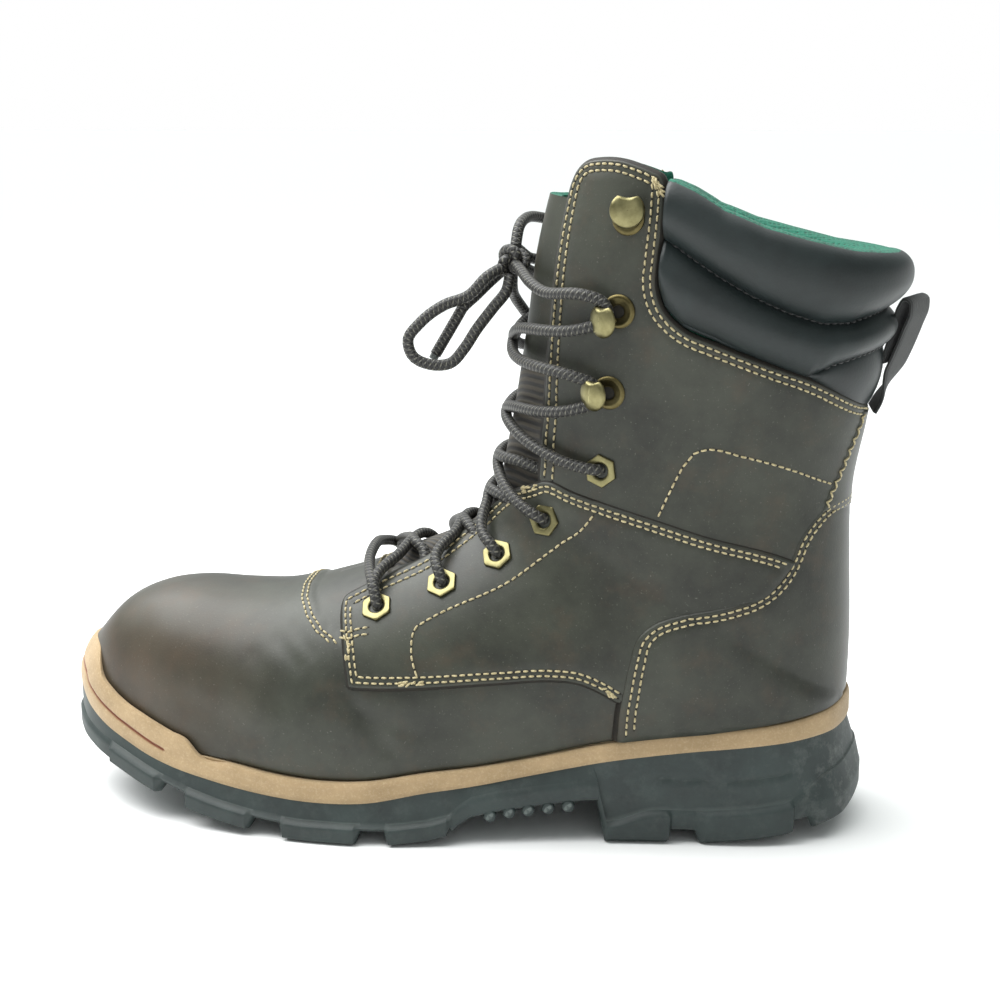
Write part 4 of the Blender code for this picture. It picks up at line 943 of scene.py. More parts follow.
def addOutsole():
    x = soleStations()
    t = soleTurn(x, soleForm["whole"])
    low, joint = treadAt(x), heightAt["joint"](x)
    raised = soleRubber["lugRaise"] * lugShare(x, True)
    lugDrop = soleRubber["lugDepth"] * (1 - lugShare(x, False))
    bottom = low + lugDrop
    foreBevel, heelBevel = soleRubber["lugBevel"]
    bevel = foreBevel + (heelBevel - foreBevel) * ramp(x, 50, 62)
    tall = soleRubber["lugPanel"] + (soleRubber["heelPanel"] - soleRubber["lugPanel"]) * ramp(x, 60, 80)
    panelTop = np.maximum(low + np.minimum(tall, 0.6 * (joint - low)), bottom + 2 * bevel)
    stepUp = soleRubber["stepUp"] + 8 * ramp(x, 126, 146)  # a long soft step at the back of the heel
    step = np.minimum(panelTop + stepUp, (panelTop + joint) / 2)
    inset = -soleRubber["stepIn"]
    face = bottom + bevel * 1.25
    # how far each row stands out, and its height
    levels = [(inset * 1.4, bottom), (inset * 0.4, bottom + 0.12 * bevel),
              (raised - 0.35, bottom + bevel * 0.8)]
    levels += [(raised, face + (panelTop - face) * f) for f in (0, 0.35, 0.7, 0.93)]
    levels += [(raised - 0.3, panelTop + 0.15), (inset + 0.25 * (raised - inset), step - 0.25), (inset, step)]
    walls = {}
    for side in sides:
        wall = [soleLine(t, side, (-away, -away, -away), lambda wx: z + 0 * wx) for away, z in levels]
        top = soleLine(t, side, soleForm["joint"], heightAt["joint"])
        last = wall[-1]
        rise = top - last
        reach = 12 + 10 * ramp(x, 105, 140)  # the wall leans in over this height below the joint
        for f in np.linspace(0.07, 0.96, 15):
            part = last + rise * f
            lean = np.clip(1 - (top - part)[:, 2] / np.minimum(reach, rise[:, 2]), 0, 1)[:, None]
            part[:, :2] = last[:, :2] + rise[:, :2] * lean
            groove = np.exp(-(lineDistance(part[:, 0], part[:, 2], soleRubber["heelLine"]) / 0.9) ** 2)
            part[:, 1] -= side * 0.8 * groove
            wall.append(part)
        walls[side] = np.array(wall + [top])
    grooved = np.zeros_like(x)
    for front, back in soleRubber["grooveEnds"]:
        grooved = np.maximum(grooved, np.clip(np.minimum(x - front, back - x) + 0.5, 0, 1))
    # across the tread, closer at the sides of the two long grooves
    shares = np.array((-0.985, -0.8, -0.62, -0.60, -0.555, -0.54, -0.46, -0.445, -0.41, -0.39, -0.2, 0.0))
    under = []
    for share in np.concatenate([shares, -shares[-2::-1]]):
        point = walls[outer][0] + (walls[inner][0] - walls[outer][0]) * (share + 1) / 2
        inGroove = np.interp(abs(share), (0.41, 0.445, 0.555, 0.60), (0, 1, 1, 0))
        point[:, 2] = low + np.maximum(lugDrop, soleRubber["lugDepth"] * inGroove * grooved)
        under.append(point)
    grid = np.concatenate([walls[outer][::-1], np.array(under), walls[inner]]).transpose(1, 0, 2)
    faces = gridFaces(*grid.shape[:2], wrap=True)
    addPiece("outsole_rubber", grid, faces, [rubber], ["outsole"], sharp=38)


def addNubs():
    radius, high, count = soleRubber["nubRadius"], soleRubber["nubOut"], 20
    profile = [(radius, -1.5, 1), (radius, high * 0.55, 1), (radius * 0.8, high * 0.9, 1),
               (radius * 0.4, high, 1)]
    points, faces = [], []
    for side in sides:
        for nx, nz in soleRubber["nubs"]:
            ny = soleEdge(soleTurn(np.array(nx), soleForm["whole"]), side, (1.2, 1.2, 1.2))[1]
            nub, quads = lathe(np.array((nx, ny, nz)), (1, 0, 0), (0, 0, 1), np.array((0, side, 0)), profile,
                               count)
            start = len(points) * len(nub)
            cap = list(range(start + len(nub) - count, start + len(nub)))
            faces += (quads[:, ::side * -1] + start).tolist() + [cap[::side * -1]]
            points.append(nub)
    addPiece("outsole_nubs", np.concatenate(points), faces, [rubber], sharp=50)


midsoleTrim = {
    "stations": 330,
    "bumperEnds": (-99.0, -94.5),
    "lean": (41.0, 0.018),  # height from which the bumper leans on the toe, and how fast
    # engraved line round the bumper: x, z
    "line": ((-158, 52.0), (-149.4, 47.6), (-146.4, 44.1), (-139.7, 39.7), (-131.1, 35.1), (-122.6, 31.9),
             (-114.7, 28.9), (-108.4, 26.9)),
    "lineWidth": 0.75,
    "lineDepth": 0.8,
    # share of the height, share of the swell
    "swell": ((0.0, 0.0), (0.1, 0.6), (0.24, 1.0), (0.72, 1.0), (0.86, 0.82), (0.95, 0.4), (1.0, 0.0)),
    "rings": 26,
}


def addMidsole():
    first, last = midsoleTrim["bumperEnds"]
    marks = soleTurn(np.linspace(first - 3, last + 3, 16), soleForm["joint"])
    t = np.sort(np.concatenate([np.linspace(0, 1, midsoleTrim["stations"]), marks]))
    shares = np.linspace(0, 0.99, midsoleTrim["rings"])
    joint, rim, seat = heightAt["joint"], heightAt["rim"], heightAt["seat"]
    parts = {}
    for side in sides:
        wall = []
        for share in shares:
            swell = np.interp(share, *np.array(midsoleTrim["swell"]).T)
            ring = [a + (b - a) * swell for a, b in zip(soleForm["joint"], soleForm["swell"])]
            wall.append(soleLine(t, side, ring, lambda x: joint(x) + share * (rim(x) - joint(x))))
        wall.append(soleLine(t, side, [a + 0.35 for a in soleForm["joint"]], rim))
        wall.append(soleLine(t, side, soleForm["rim"], rim))
        wall.append(soleLine(t, side, soleForm["rim"], lambda x: rim(x) - 0.5))
        wall.append(soleLine(t, side, soleForm["tray"], seat))
        parts[side] = np.array(wall)
    grid = np.concatenate([parts[outer], parts[inner][::-1]]).transpose(1, 0, 2)
    columns = grid.shape[1]
    onWall = np.zeros(columns)
    onWall[1:len(shares)] = 1
    onWall[-len(shares):-1] = 1
    x, z = grid[..., 0], grid[..., 2]
    fromLine = z - np.interp(x, *np.array(midsoleTrim["line"]).T)
    engraved = np.exp(-(fromLine / midsoleTrim["lineWidth"]) ** 2) * ramp(x, -107.5, -110) * onWall
    leanFrom, lean = midsoleTrim["lean"]
    leaned = lean * np.maximum(z - leanFrom, 0) ** 2 * ramp(x, -95, -120)
    setBack = engraved * midsoleTrim["lineDepth"] + leaned
    away = (grid - (-100.0, 4.0, 0.0)) * (1, 1, 0)  # level, from the middle of the toe
    grid = grid - unit(away) * setBack[..., None]
    faces = gridFaces(len(grid), columns, wrap=True)
    piece = addPiece("midsole_strip", grid, faces, [tanFoam], ["midsole"], sharp=50)
    # where the engraved line is, for the darker red brown laid along it
    engravedLineDark = piece.data.attributes.new("engravedLineDark", "FLOAT", "POINT")
    engravedLineDark.data.foreach_set("value", engraved.reshape(-1).astype(np.float32))


def addInsole():
    t = np.linspace(0, 1, 120)
    low, top = 0.4, 3.4  # heights over the seat
    small = [a + 1.0 for a in soleForm["insole"]]
    edges = {}
    for side in sides:
        edges[side] = [soleLine(t, side, ring, lambda x: heightAt["seat"](x) + level)
                       for ring, level in ((soleForm["insole"], low), (small, top))]
    across = list(edges[outer])
    for f in np.linspace(0.04, 0.96, 22):  # dished towards its edges
        point = edges[outer][1] + (edges[inner][1] - edges[outer][1]) * f
        point[:, 2] += 0.9 - 0.6 * math.sin(math.pi * f)
        across.append(point)
    across += edges[inner][::-1]
    grid = np.array(across).transpose(1, 0, 2)
    faces = gridFaces(*grid.shape[:2], wrap=True)
    addPiece("insole_cloth", grid, faces, [board], ["insole"], sharp=60)


addOutsole()
addNubs()
addMidsole()
addInsole()
print("sole: outsole, nubs, midsole and insole")


# Vamp and foot of the upper: one skin from the toe to under the quarters and the counter

vampSkin = {
    "columns": 77,
    "split": (0.3, 1.12),
    "thickness": 1.8,
    # hidden upper border in the side view, under the quarter and the counter
    "border": ((-60, 150), (20, 131), (39.7, 127.6), (57, 124.4), (77.4, 118.6), (92.5, 114), (112, 107.5),
               (122, 106), (130, 112), (138, 119), (150, 122)),
    # seam of the vamp over the plug: row at each distance across
    "seam": ((0, 7.72), (10, 7.7), (20.8, 7.76), (30.8, 7.96), (37.3, 8.2), (40, 8.4), (52, 9.0)),
    "seamStep": 0.9,
}


vampFolds = (  # soft creases in the side view: from x z to x z, half width, depth
    (-36, 55, -20, 36, 4.0, 1.1),
    (-30, 50, -8, 40, 3.5, 0.6),
    (-64, 72, -54, 64, 2.4, 0.45),
    (-58, 76, -50, 69, 2.2, 0.35),
    (-72, 66, -62, 52, 4.0, 0.5),
    (-20, 46, 14, 44, 5.0, 0.5),
    (-98, 46, -70, 36, 5.0, 0.5),
)


def vampRelief(points, s):  # low folds and the lapped seam, in millimetres along the normal
    x, y, z = np.moveaxis(points, -1, 0)
    across = np.abs(y)
    # the vamp laps over the plug: a step down behind the seam, 18 mm to a row
    pastSeam = (s - np.interp(across, *np.array(vampSkin["seam"]).T)) * 18.0
    relief = -vampSkin["seamStep"] * ramp(pastSeam, -0.3, 0.7) * ramp(across, 46, 40) * (z > 66)
    for ax, az, bx, bz, wide, deep in vampFolds:
        relief = relief - deep * np.exp(-(lineDistance(x, z, ((ax, az), (bx, bz))) / wide) ** 2)
    return relief


def columnTurn(share, first):  # columns open for the throat above, and agree below the quarter
    split, turn = vampSkin["split"]
    above = first + (turn - first) * share / split
    return np.where(share < split, above, turn + (math.pi - turn) * (share - split) / (1 - split))


def addVamp():
    plugEnd = upperForm["plugEnd"]
    share = np.linspace(0, 1, vampSkin["columns"])
    border = np.array(vampSkin["border"], float).T
    lowRows = np.concatenate([np.linspace(0.0, 1.0, 16)[1:], np.linspace(1, plugEnd, 150)[1:]])
    points, faces, count = [], [], 0
    for side in sides:
        def openPoint(s):  # upper part of the foot, open at the throat
            return upperPoint(s, columnTurn(share, turnAt(s, sectionAt(s)[9], side)), side)

        def underBorder(s):
            point = openPoint(s)
            return point[:, 2] < np.interp(point[:, 0], *border)

        ss, cc = np.meshgrid(lowRows, share, indexing="ij")
        ends = bisect(np.full(len(share), plugEnd), np.full(len(share), 21.0), underBorder, 26)
        high = plugEnd + np.linspace(0, 1, 84)[:, None] * (ends - plugEnd)
        for s, grid in ((ss, upperPoint(ss, columnTurn(cc, 0.0), side)), (high, openPoint(high))):
            grid = grid + gridNormals(grid, side) * vampRelief(grid, s)[..., None]
            points.append(grid.reshape(-1, 3))
            faces.append(gridFaces(*s.shape, flip=side == outer) + count)
            count += s.size
    piece = addPiece("vamp_leather", np.concatenate(points), np.concatenate(faces), [nubuck, meshLining],
                     ["upper"])
    piece.modifiers.new("ridge", "WELD").merge_threshold = 0.04 * mm
    wall = piece.modifiers.new("thickness", "SOLIDIFY")
    wall.thickness = vampSkin["thickness"] * mm
    wall.offset = -1
    wall.material_offset = 1


addVamp()
print("vamp: skin and folds")


# Leather panels, laid on the form

panelCut = {
    "edge": ((0.0, 0.1), (1.1, 0.74), (1.6, 1.0)),  # inset and share of the thickness: a skived, stained edge
    "rowHalf": 0.7,
    "dent": 0.3,
    "cell": 2.3,
}
stitching = {
    "pitch": 2.9,
    "length": 2.25,
    "radius": 0.38,
    "sides": 7,
    # along the stitch, share of its radius, height: both ends go down into the leather
    "shape": ((-1, 0.3, -0.42), (-0.86, 0.75, -0.1), (-0.5, 1.0, 0.1), (0, 1.05, 0.16), (0.5, 1.0, 0.1),
              (0.86, 0.75, -0.1), (1, 0.3, -0.42)),
    "holeShape": ((-1, 0.5, -0.16), (0, 0.95, 0.0), (1, 0.5, -0.16)),  # dark mark where the needle went in: painted shade in the needle hole
    "holeLength": 1.1,
}
stitchBatches = {"gold": ([], []), "dark": ([], []), "hole": ([], [])}


def closeLoop(*lines):  # lines of places, each with a mark for a stitched edge; returns a loop and its marks
    loop, marks = [], []
    for places, stitched in lines:
        line = spaced(places, 1.0)
        loop.append(line[:-1])
        marks.append(np.full(len(line) - 1, stitched))
    loop, marks = np.concatenate(loop), np.concatenate(marks)
    for k in range(3):  # takes the points off the corners
        loop = 0.25 * np.roll(loop, 1, axis=0) + 0.5 * loop + 0.25 * np.roll(loop, -1, axis=0)
    turn = np.roll(loop, -1, axis=0)
    if np.sum(loop[:, 0] * turn[:, 1] - loop[:, 1] * turn[:, 0]) < 0:
        loop, marks = loop[::-1], marks[::-1]
    return loop, marks


def loopDistance(points, loop):
    best = np.full(len(points), 1e9)
    for a, b in zip(loop, np.roll(loop, -1, axis=0)):
        run = b - a
        f = np.clip(((points - a) @ run) / max(run @ run, 1e-9), 0, 1)
        best = np.minimum(best, np.linalg.norm(points - a - f[:, None] * run, axis=1))
    return best


def insideLoop(points, loop):
    inside = np.zeros(len(points), bool)
    for a, b in zip(loop, np.roll(loop, -1, axis=0)):
        crosses = (a[1] > points[:, 1]) != (b[1] > points[:, 1])
        if crosses.any():
            at = a[0] + (points[:, 1] - a[1]) / (b[1] - a[1] + 1e-12) * (b[0] - a[0])
            inside ^= crosses & (points[:, 0] < at)
    return inside


def insetLine(loop, inset, marks=None):  # points of the loop moved in, without those past a corner
    way = unit(np.roll(loop, -1, axis=0) - np.roll(loop, 1, axis=0))
    moved = loop + np.stack([-way[:, 1], way[:, 0]], axis=1) * inset
    keep = loopDistance(moved, loop) > inset - 0.04
    if marks is not None:
        keep &= marks
    return moved, keep


def runsOf(keep):  # the unbroken runs of kept points
    kept = np.flatnonzero(keep)
    return np.split(kept, np.flatnonzero(np.diff(kept) > 6) + 1)


def layPanel(name, loop, marks, chart, thick, rows, nodes, under=-0.25, relief=None, linings=None, thin=None):
    edge, cell, half = panelCut["edge"], panelCut["cell"], panelCut["rowHalf"]
    places, heights = [loop], [np.full(len(loop), edge[0][1] * thick)]
    rings = [(inset, share * thick, None) for inset, share in edge[1:]]
    for row in rows:
        rings += [(row - half, thick, marks), (row, thick - panelCut["dent"], marks),
                  (row + half, thick, marks)]
    for inset, height, only in rings:
        moved, keep = insetLine(loop, inset, only)
        places.append(moved[keep])
        heights.append(np.full(keep.sum(), height))
    rim = len(loop) + len(places[1])  # the edge and the first ring inside it
    low, high = loop.min(0), loop.max(0)
    gx, gy = np.meshgrid(np.arange(low[0], high[0], cell), np.arange(low[1], high[1], cell * 0.866),
                         indexing="ij")
    gx = gx + (np.arange(gx.shape[1]) % 2) * cell / 2
    cells = np.stack([gx.ravel(), gy.ravel()], axis=1)
    cells = cells[insideLoop(cells, loop)]
    cells = cells[loopDistance(cells, loop) > edge[2][0] + 0.6 * cell]
    if rows:  # keeps the grid off the stitched rows
        taken = np.concatenate(places)
        free = np.array([np.min(np.hypot(*(taken - spot).T)) for spot in cells])
        cells = cells[free > 0.62 * cell]
    places = np.concatenate(places + [cells])
    heights = np.concatenate(heights + [np.full(len(cells), thick)])
    verts, edges, faces, origin, more, most = delaunay_2d_cdt(
        [Vector(p) for p in places], [], [list(range(len(loop)))], 1, 1e-5)
    first = np.array([ids[0] if ids else -1 for ids in origin])
    flat = np.array([tuple(v) for v in verts])
    height = np.where(first >= 0, heights[first], thick)
    base, normal = chart(flat)
    if thin is not None:
        height = height * thin(base)
    if relief is not None:
        height = height + relief(base)
    top = base + normal * height[:, None]
    bottom = base + normal * under
    count = len(flat)
    order = {k: n for n, k in enumerate(first) if k >= 0}
    ring = [order[k] for k in range(len(loop))]
    faces = np.array([list(face) for face in faces])
    walls = np.array([(a, b, b + count, a + count) for a, b in zip(ring, ring[1:] + ring[:1])])
    a, b, c = faces[0]
    if np.cross(top[b] - top[a], top[c] - top[a]) @ normal[a] < 0:
        faces = faces[:, ::-1]
    else:
        walls = walls[:, ::-1]
    allFaces = faces.tolist() + (faces[:, ::-1] + count).tolist() + walls.tolist()
    # the band at the edge takes the dark colour: partly black edge stain, partly painted shade under the
    # raised edge
    onRim = (first[faces] < rim).all(axis=1).astype(int).tolist()
    slots = onRim + [2 if linings else 1] * len(faces) + [1] * len(walls)
    materials = [nubuck, edgeStainAndShade] + ([linings] if linings else [])
    return addPiece(name, np.concatenate([top, bottom]), allFaces, materials, nodes, slots)


def sewRow(places, chart, height):  # a row of stitches along places
    sewLine(*chart(spaced(places, 0.6)), height)


def sewLine(base, normal, height, batch="gold"):
    line = base + normal * (height(base)[:, None] if callable(height) else height)
    run = runAlong(line)
    pitch = stitching["pitch"]
    centres = np.arange(pitch / 2, run[-1], pitch)
    middles, ups = readAlong(centres, run, line), unit(readAlong(centres, run, normal))
    ahead = readAlong(np.minimum(centres + 0.5, run[-1]), run, line)
    back = readAlong(np.maximum(centres - 0.5, 0), run, line)
    for middle, up, way in zip(middles, ups, unit(ahead - back)):
        addStitch(middle, up, way, batch=batch)
        # a dark mark between the stitches: painted shade in the needle hole
        if batch == "gold":
            addStitch(middle + way * pitch / 2 - up * 0.1, up, way, 0.0, stitching["holeLength"], "hole")


def addStitch(middle, up, way, jitter=0.06, length=stitching["length"], batch="gold"):
    points, faces = stitchBatches[batch]
    way = unit(way - up * (way @ up))
    way = unit(way + np.cross(up, way) * dice.normal(0, jitter))
    half = length / 2 * (1 + dice.normal(0, 0.05))
    around = ringWays(anglesRound(stitching["sides"]), np.cross(up, way), up)
    rings = []
    for along, fat, rise in stitching["holeShape" if batch == "hole" else "shape"]:
        rings.append(middle + way * half * along + up * rise + stitching["radius"] * fat * around)
    stitch = np.concatenate(rings)
    faces.append(gridFaces(len(rings), stitching["sides"], wrap=True) + len(points) * len(stitch))
    points.append(stitch)


def sewAlong(loop, marks, chart, insets, height):  # rows inside the stitched edges of a panel
    for inset in insets:
        moved, keep = insetLine(loop, inset, marks)
        for run in runsOf(keep):
            if len(run) > 4:
                sewRow(moved[run], chart, height)


def panelFolds(base):  # faint waves of worked leather
    x, z = base[:, 0], base[:, 2]
    return 0.13 * np.sin(x / 17 + z / 23) * np.sin(z / 13 - x / 41)


quarters = {
    "thick": 2.3,
    "rows": (2.7, 4.6),
    "front": ((-40.6, 86.2), (-41.1, 84.4), (-40.6, 80), (-39.4, 75.4), (-37.4, 67), (-35.7, 59.6),
              (-35.3, 57.3)),
    "bottom": ((-35.3, 57.3), (-32, 57.2), (-10.6, 58), (21.3, 60.7), (39.8, 62.1), (49, 61.4), (57, 58.2),
               (64.6, 53.6)),
    "rear": ((64.6, 53.6), (71, 58), (74, 72), (80, 80), (104, 87), (118, 94), (128, 107)),
    "top": ((128, 107), (122, 109.8), (92.5, 118.5), (77.4, 123.2), (57, 128.9), (46, 131.9), (40, 134.2)),
    "throat": ((40, 134.2), (37, 134.4), (30, 131), (22.7, 127.4), (10, 114.7), (-8.3, 101.6),
               (-29.7, 91.5), (-40.6, 86.2)),
    "innerLine": ((-9, 62.8), (-11.3, 69.9), (-10.1, 78.8), (-6.9, 80.8), (25.6, 96.9), (42.8, 110.9),
                  (50.5, 117.2), (54.9, 123.2)),
}


def addQuarters():
    front, bottom, top, throat = (smoothRoute(quarters[key]) for key in ("front", "bottom", "top", "throat"))
    loop, marks = closeLoop((front, True), (bottom, True), (quarters["rear"], False), (top, True),
                            (throat, True))
    thick, rows = quarters["thick"], quarters["rows"]
    for side in sides:
        chart, name = sideChart(side), sideNames[side]
        layPanel(f"quarter_leather_{name}", loop, marks, chart, thick, rows, [f"quarter_{name}"],
                 relief=panelFolds)
        sewAlong(loop, marks, chart, rows, lambda base: thick - 0.1 + panelFolds(base))
        sewRow(smoothRoute(quarters["innerLine"]), chart, lambda base: thick + 0.12 + panelFolds(base))


counterCut = {
    "thick": 3.3,
    "rows": (3.0, 5.0),
    "edge": ((61.9, 39.6), (62.4, 44), (63.2, 52), (64.6, 59.5), (66.6, 69.3), (70, 79.7), (76.4, 85.4),
             (85.7, 88.9), (103.9, 92.9), (112.8, 95.9), (119.8, 101.5), (123.6, 107.7), (126.9, 115.9),
             (132.2, 123), (138.8, 128.0), (143, 129)),
    "foot": (62.4, 136),  # from and to x
    "footGap": 0.4,
    "heelX": 150.0,
    "backTop": 129.6,
}


def counterThin(base):  # share of the thickness left towards the back
    return 1 - 0.65 * ramp(base[:, 0], 92, 132)


def addCounter():
    edges = {side: roundLine(smoothRoute(counterCut["edge"]), side) for side in sides}
    x = np.linspace(*counterCut["foot"], 60)
    foot = np.stack([x, heightAt["rim"](x) + counterCut["footGap"]], axis=1)
    feet = {side: roundLine(foot, side) for side in sides}
    heel = [(0.0, heightAt["rim"](counterCut["heelX"]) + counterCut["footGap"])]
    top = np.concatenate([edges[outer][-1:], [(0.0, counterCut["backTop"])], edges[inner][-1:]])
    bottom = np.concatenate([edges[inner][:1], feet[inner], heel, feet[outer][::-1], edges[outer][:1]])
    loop, marks = closeLoop((edges[outer], True), (smoothRoute(top), True), (edges[inner][::-1], True),
                            (bottom, False))
    layPanel("counter_leather", loop, marks, roundChart, counterCut["thick"], counterCut["rows"],
             ["heel_counter"], relief=panelFolds, thin=counterThin)
    sewAlong(loop, marks, roundChart, counterCut["rows"],
             lambda base: counterCut["thick"] * counterThin(base) + panelFolds(base))


shaftCut = {
    "thick": 1.1,
    "under": -2.1,
    "innerDrop": 3.0,  # the far flap stands lower
    "setBack": 2.5,  # of the front edge from the edge of the throat
    "rows": (2.5, 4.7),
    "throatRows": (17.3, 23.9),
    "top": ((43.6, 239.5), (46, 245), (50, 248.8), (56, 250), (62, 249.9), (70, 247.6), (77, 244.8)),
    "seam": ((77, 244.8), (78.3, 242), (78.4, 236), (76.8, 215.6), (76.2, 206), (78.4, 198.8), (84.6, 192.3),
             (97.7, 186.6), (115, 179.9), (132.3, 173.2), (148, 163.8)),
    "backTop": 160.4,
    "backLow": 119.0,
    "hidden": ((36, 126), (57, 122), (77.4, 116.5), (92.5, 112), (112, 105.5), (122, 104), (130, 110),
               (138, 117)),
    "patch": ((77.4, 123.6), (81.1, 132.2), (87.6, 144.7), (90.2, 147.6), (93.8, 148.8), (106.6, 146.4),
              (122.7, 141.4), (137.7, 134.4)),
}


def throatLine(side, first, last, out=0.0):  # edge of the throat on the form
    s = np.linspace(first, last, 60)
    return upperPoint(s, turnAt(s, sectionAt(s)[9] + out, side), side)


def addShaft():
    fronts, seams, lows = {}, {}, {}
    for side in sides:
        throat = toRound(throatLine(side, *shaftCut["throatRows"], shaftCut["setBack"]))
        drop = shaftCut["innerDrop"] if side == inner else 0.0
        top = roundLine(smoothRoute(np.array(shaftCut["top"]) - (0, drop)), side)
        fronts[side] = np.concatenate([throat, top])
        seams[side] = roundLine(smoothRoute(shaftCut["seam"]), side)
        lows[side] = roundLine(smoothRoute(shaftCut["hidden"]), side)
    seam = np.concatenate([seams[outer], [(0.0, shaftCut["backTop"])], seams[inner][::-1]])
    hidden = np.concatenate([fronts[inner][:1], lows[inner], [(0.0, shaftCut["backLow"])], lows[outer][::-1],
                             fronts[outer][:1]])
    loop, marks = closeLoop((fronts[outer], True), (seam, True), (fronts[inner][::-1], True), (hidden, False))
    layPanel("shaft_leather", loop, marks, roundChart, shaftCut["thick"], shaftCut["rows"], (),
             under=shaftCut["under"], relief=panelFolds, linings=meshLining)
    sewAlong(loop, marks, roundChart, shaftCut["rows"], shaftCut["thick"] - 0.1)
    for side in sides:
        sewRow(smoothRoute(shaftCut["patch"]), sideChart(side), shaftCut["thick"] + 0.1)


backstayCut = {
    "thick": 1.5,
    "edge": ((134.6, 123), (135.8, 128), (139.6, 137), (144.2, 148.5), (148.2, 158.6), (148.6, 160.6)),
    "backTop": 159.8,
    "backLow": 121.0,
    "zigzag": (1.3, 3.3),
}


def addBackstay():
    edges = {side: roundLine(smoothRoute(backstayCut["edge"]), side) for side in sides}
    top = np.concatenate([edges[outer][-1:], [(0.0, backstayCut["backTop"])], edges[inner][-1:]])
    bottom = np.concatenate([edges[inner][:1], [(0.0, backstayCut["backLow"])], edges[outer][:1]])
    loop, marks = closeLoop((edges[outer], True), (top, False), (edges[inner][::-1], True), (bottom, False))
    layPanel("backstay_leather", loop, marks, roundChart, backstayCut["thick"], (), ["backstay"])
    near, keep = insetLine(loop, backstayCut["zigzag"][0], marks)
    far = insetLine(loop, backstayCut["zigzag"][1], marks)[0]
    for run in runsOf(keep):
        zigzag = [near[k] if n % 2 else far[k] for n, k in enumerate(run[::2])]
        base, normal = roundChart(zigzag)
        line = base + normal * (backstayCut["thick"] + 0.15)
        for a, b, up in zip(line, line[1:], normal):
            addStitch((a + b) / 2, up, b - a, 0.02, np.linalg.norm(b - a) * 0.95)


addQuarters()
addCounter()
addShaft()
addBackstay()


tacks = (  # side view place, spread along and across, count, slant in degrees, height
    (-35.6, 70.0, 4.0, 0.8, 9, 100, 2.1),
    (-10.5, 60.6, 5.0, 0.8, 9, 5, 2.1),
    (75.6, 240.0, 2.8, 1.2, 14, -60, 1.3),
    (31.0, 129.8, 3.2, 1.2, 10, 25, 2.2),
    (61.0, 58.6, 2.6, 0.9, 8, -35, 2.2),
)
# the vamp's rows run on over the quarter
vampTack = ((-39.5, 73.6), (-36.0, 73.4), (-32.2, 74.6), (-29.4, 75.2))


def addTacks():
    for side in sides:
        chart = sideChart(side)
        for x, z, along, across, count, slant, height in tacks:
            way = np.array((math.cos(math.radians(slant)), math.sin(math.radians(slant))))
            spots = (x, z) + np.outer(dice.uniform(-along, along, count), way)
            spots = spots + np.outer(dice.uniform(-across, across, count), (-way[1], way[0]))
            for place, up in zip(*chart(spots)):
                lean = math.radians(slant + dice.normal(0, 20))
                middle = place + up * (height + dice.uniform(-0.1, 0.4))
                addStitch(middle, up, np.array((math.cos(lean), 0, math.sin(lean))))
        for shift in (0.0, 2.0):
            sewRow(smoothRoute(np.array(vampTack) + (0, shift)), chart, quarters["thick"] + 0.1)


def sewCrown(s, y, height, above=0.0):  # a row across the closed form
    base, normal = crownPoint(s, y), crownNormal(s, y)
    keep = base[:, 2] > above
    sewLine(base[keep], normal[keep], height)


def sewVamp():
    y = np.linspace(-43, 43, 160)
    seamRow = np.interp(np.abs(y), *np.array(vampSkin["seam"]).T)
    for ahead in (0.12, 0.23):
        sewCrown(seamRow - ahead, y, 0.1, 72)
    y = np.linspace(-16, 16, 60)
    for back in (0.13, 0.25):  # edge of the plug over the throat
        sewCrown(np.full_like(y, upperForm["plugEnd"] - back), y, -0.75)


sewVamp()
addTacks()
print("panels: quarters, counter, shaft and backstay")


# Padded collar

collarPad = {
    "steps": 90,
    "levels": (160, 190, 206, 220, 234, 248),
    "frontSeam": ((76.2, 206), (76.8, 215.6), (78.4, 235), (79.2, 243.5)),
    "seam": ((76.2, 206), (78.4, 198.8), (84.6, 192.3), (97.7, 186.6), (115, 179.9), (132.3, 173.2),
             (151.7, 161.3), (172, 149)),
    "top": ((70, 244), (79, 242.6), (86, 239.6), (96, 233.8), (110, 227.6), (124, 223.6), (140, 219.4),
            (156, 217.2), (175, 217)),
    "crease": ((70, 226), (81.1, 220), (88.4, 215.2), (96.6, 210), (107.6, 203.6), (120.3, 197.8),
               (133.1, 193.5), (142.8, 193.2), (156.4, 196.7), (170, 199.5)),
    "lowCrease": ((70, 200), (129.0, 174.1), (137.2, 178.5), (147.1, 181.0), (153.7, 182.5), (170, 184)),
    "depth": 10.0,
    "tuck": -0.6,  # the lower edge goes in behind the shaft leather
    "lowSteps": 10,
    "midSteps": 20,
    "front": {"low": 1.0, "mid": 5.6, "crease": -0.4, "top": 7.2},  # how far the rolls stand out at the front
    "back": {"low": 4.6, "mid": 7.0, "crease": 1.4, "top": 9.8},
}


def levelRow(z, turn, side):  # row of the shaft at height z
    low, high = np.full(np.shape(z), 18.5), np.full(np.shape(z), float(upperForm["topRow"]))
    return bisect(low, high, lambda s: upperPoint(s, turn, side)[..., 2] < z)


def collarFronts(side):
    z = np.array(collarPad["levels"], float)
    seamX, seamZ = np.array(collarPad["frontSeam"]).T
    edgeX = np.interp(z, seamZ, seamX) + 0.5
    return bisect(np.full(len(z), 0.6), np.full(len(z), 2.0),
                  lambda turn: upperPoint(levelRow(z, turn, side), turn, side)[:, 0] < edgeX)


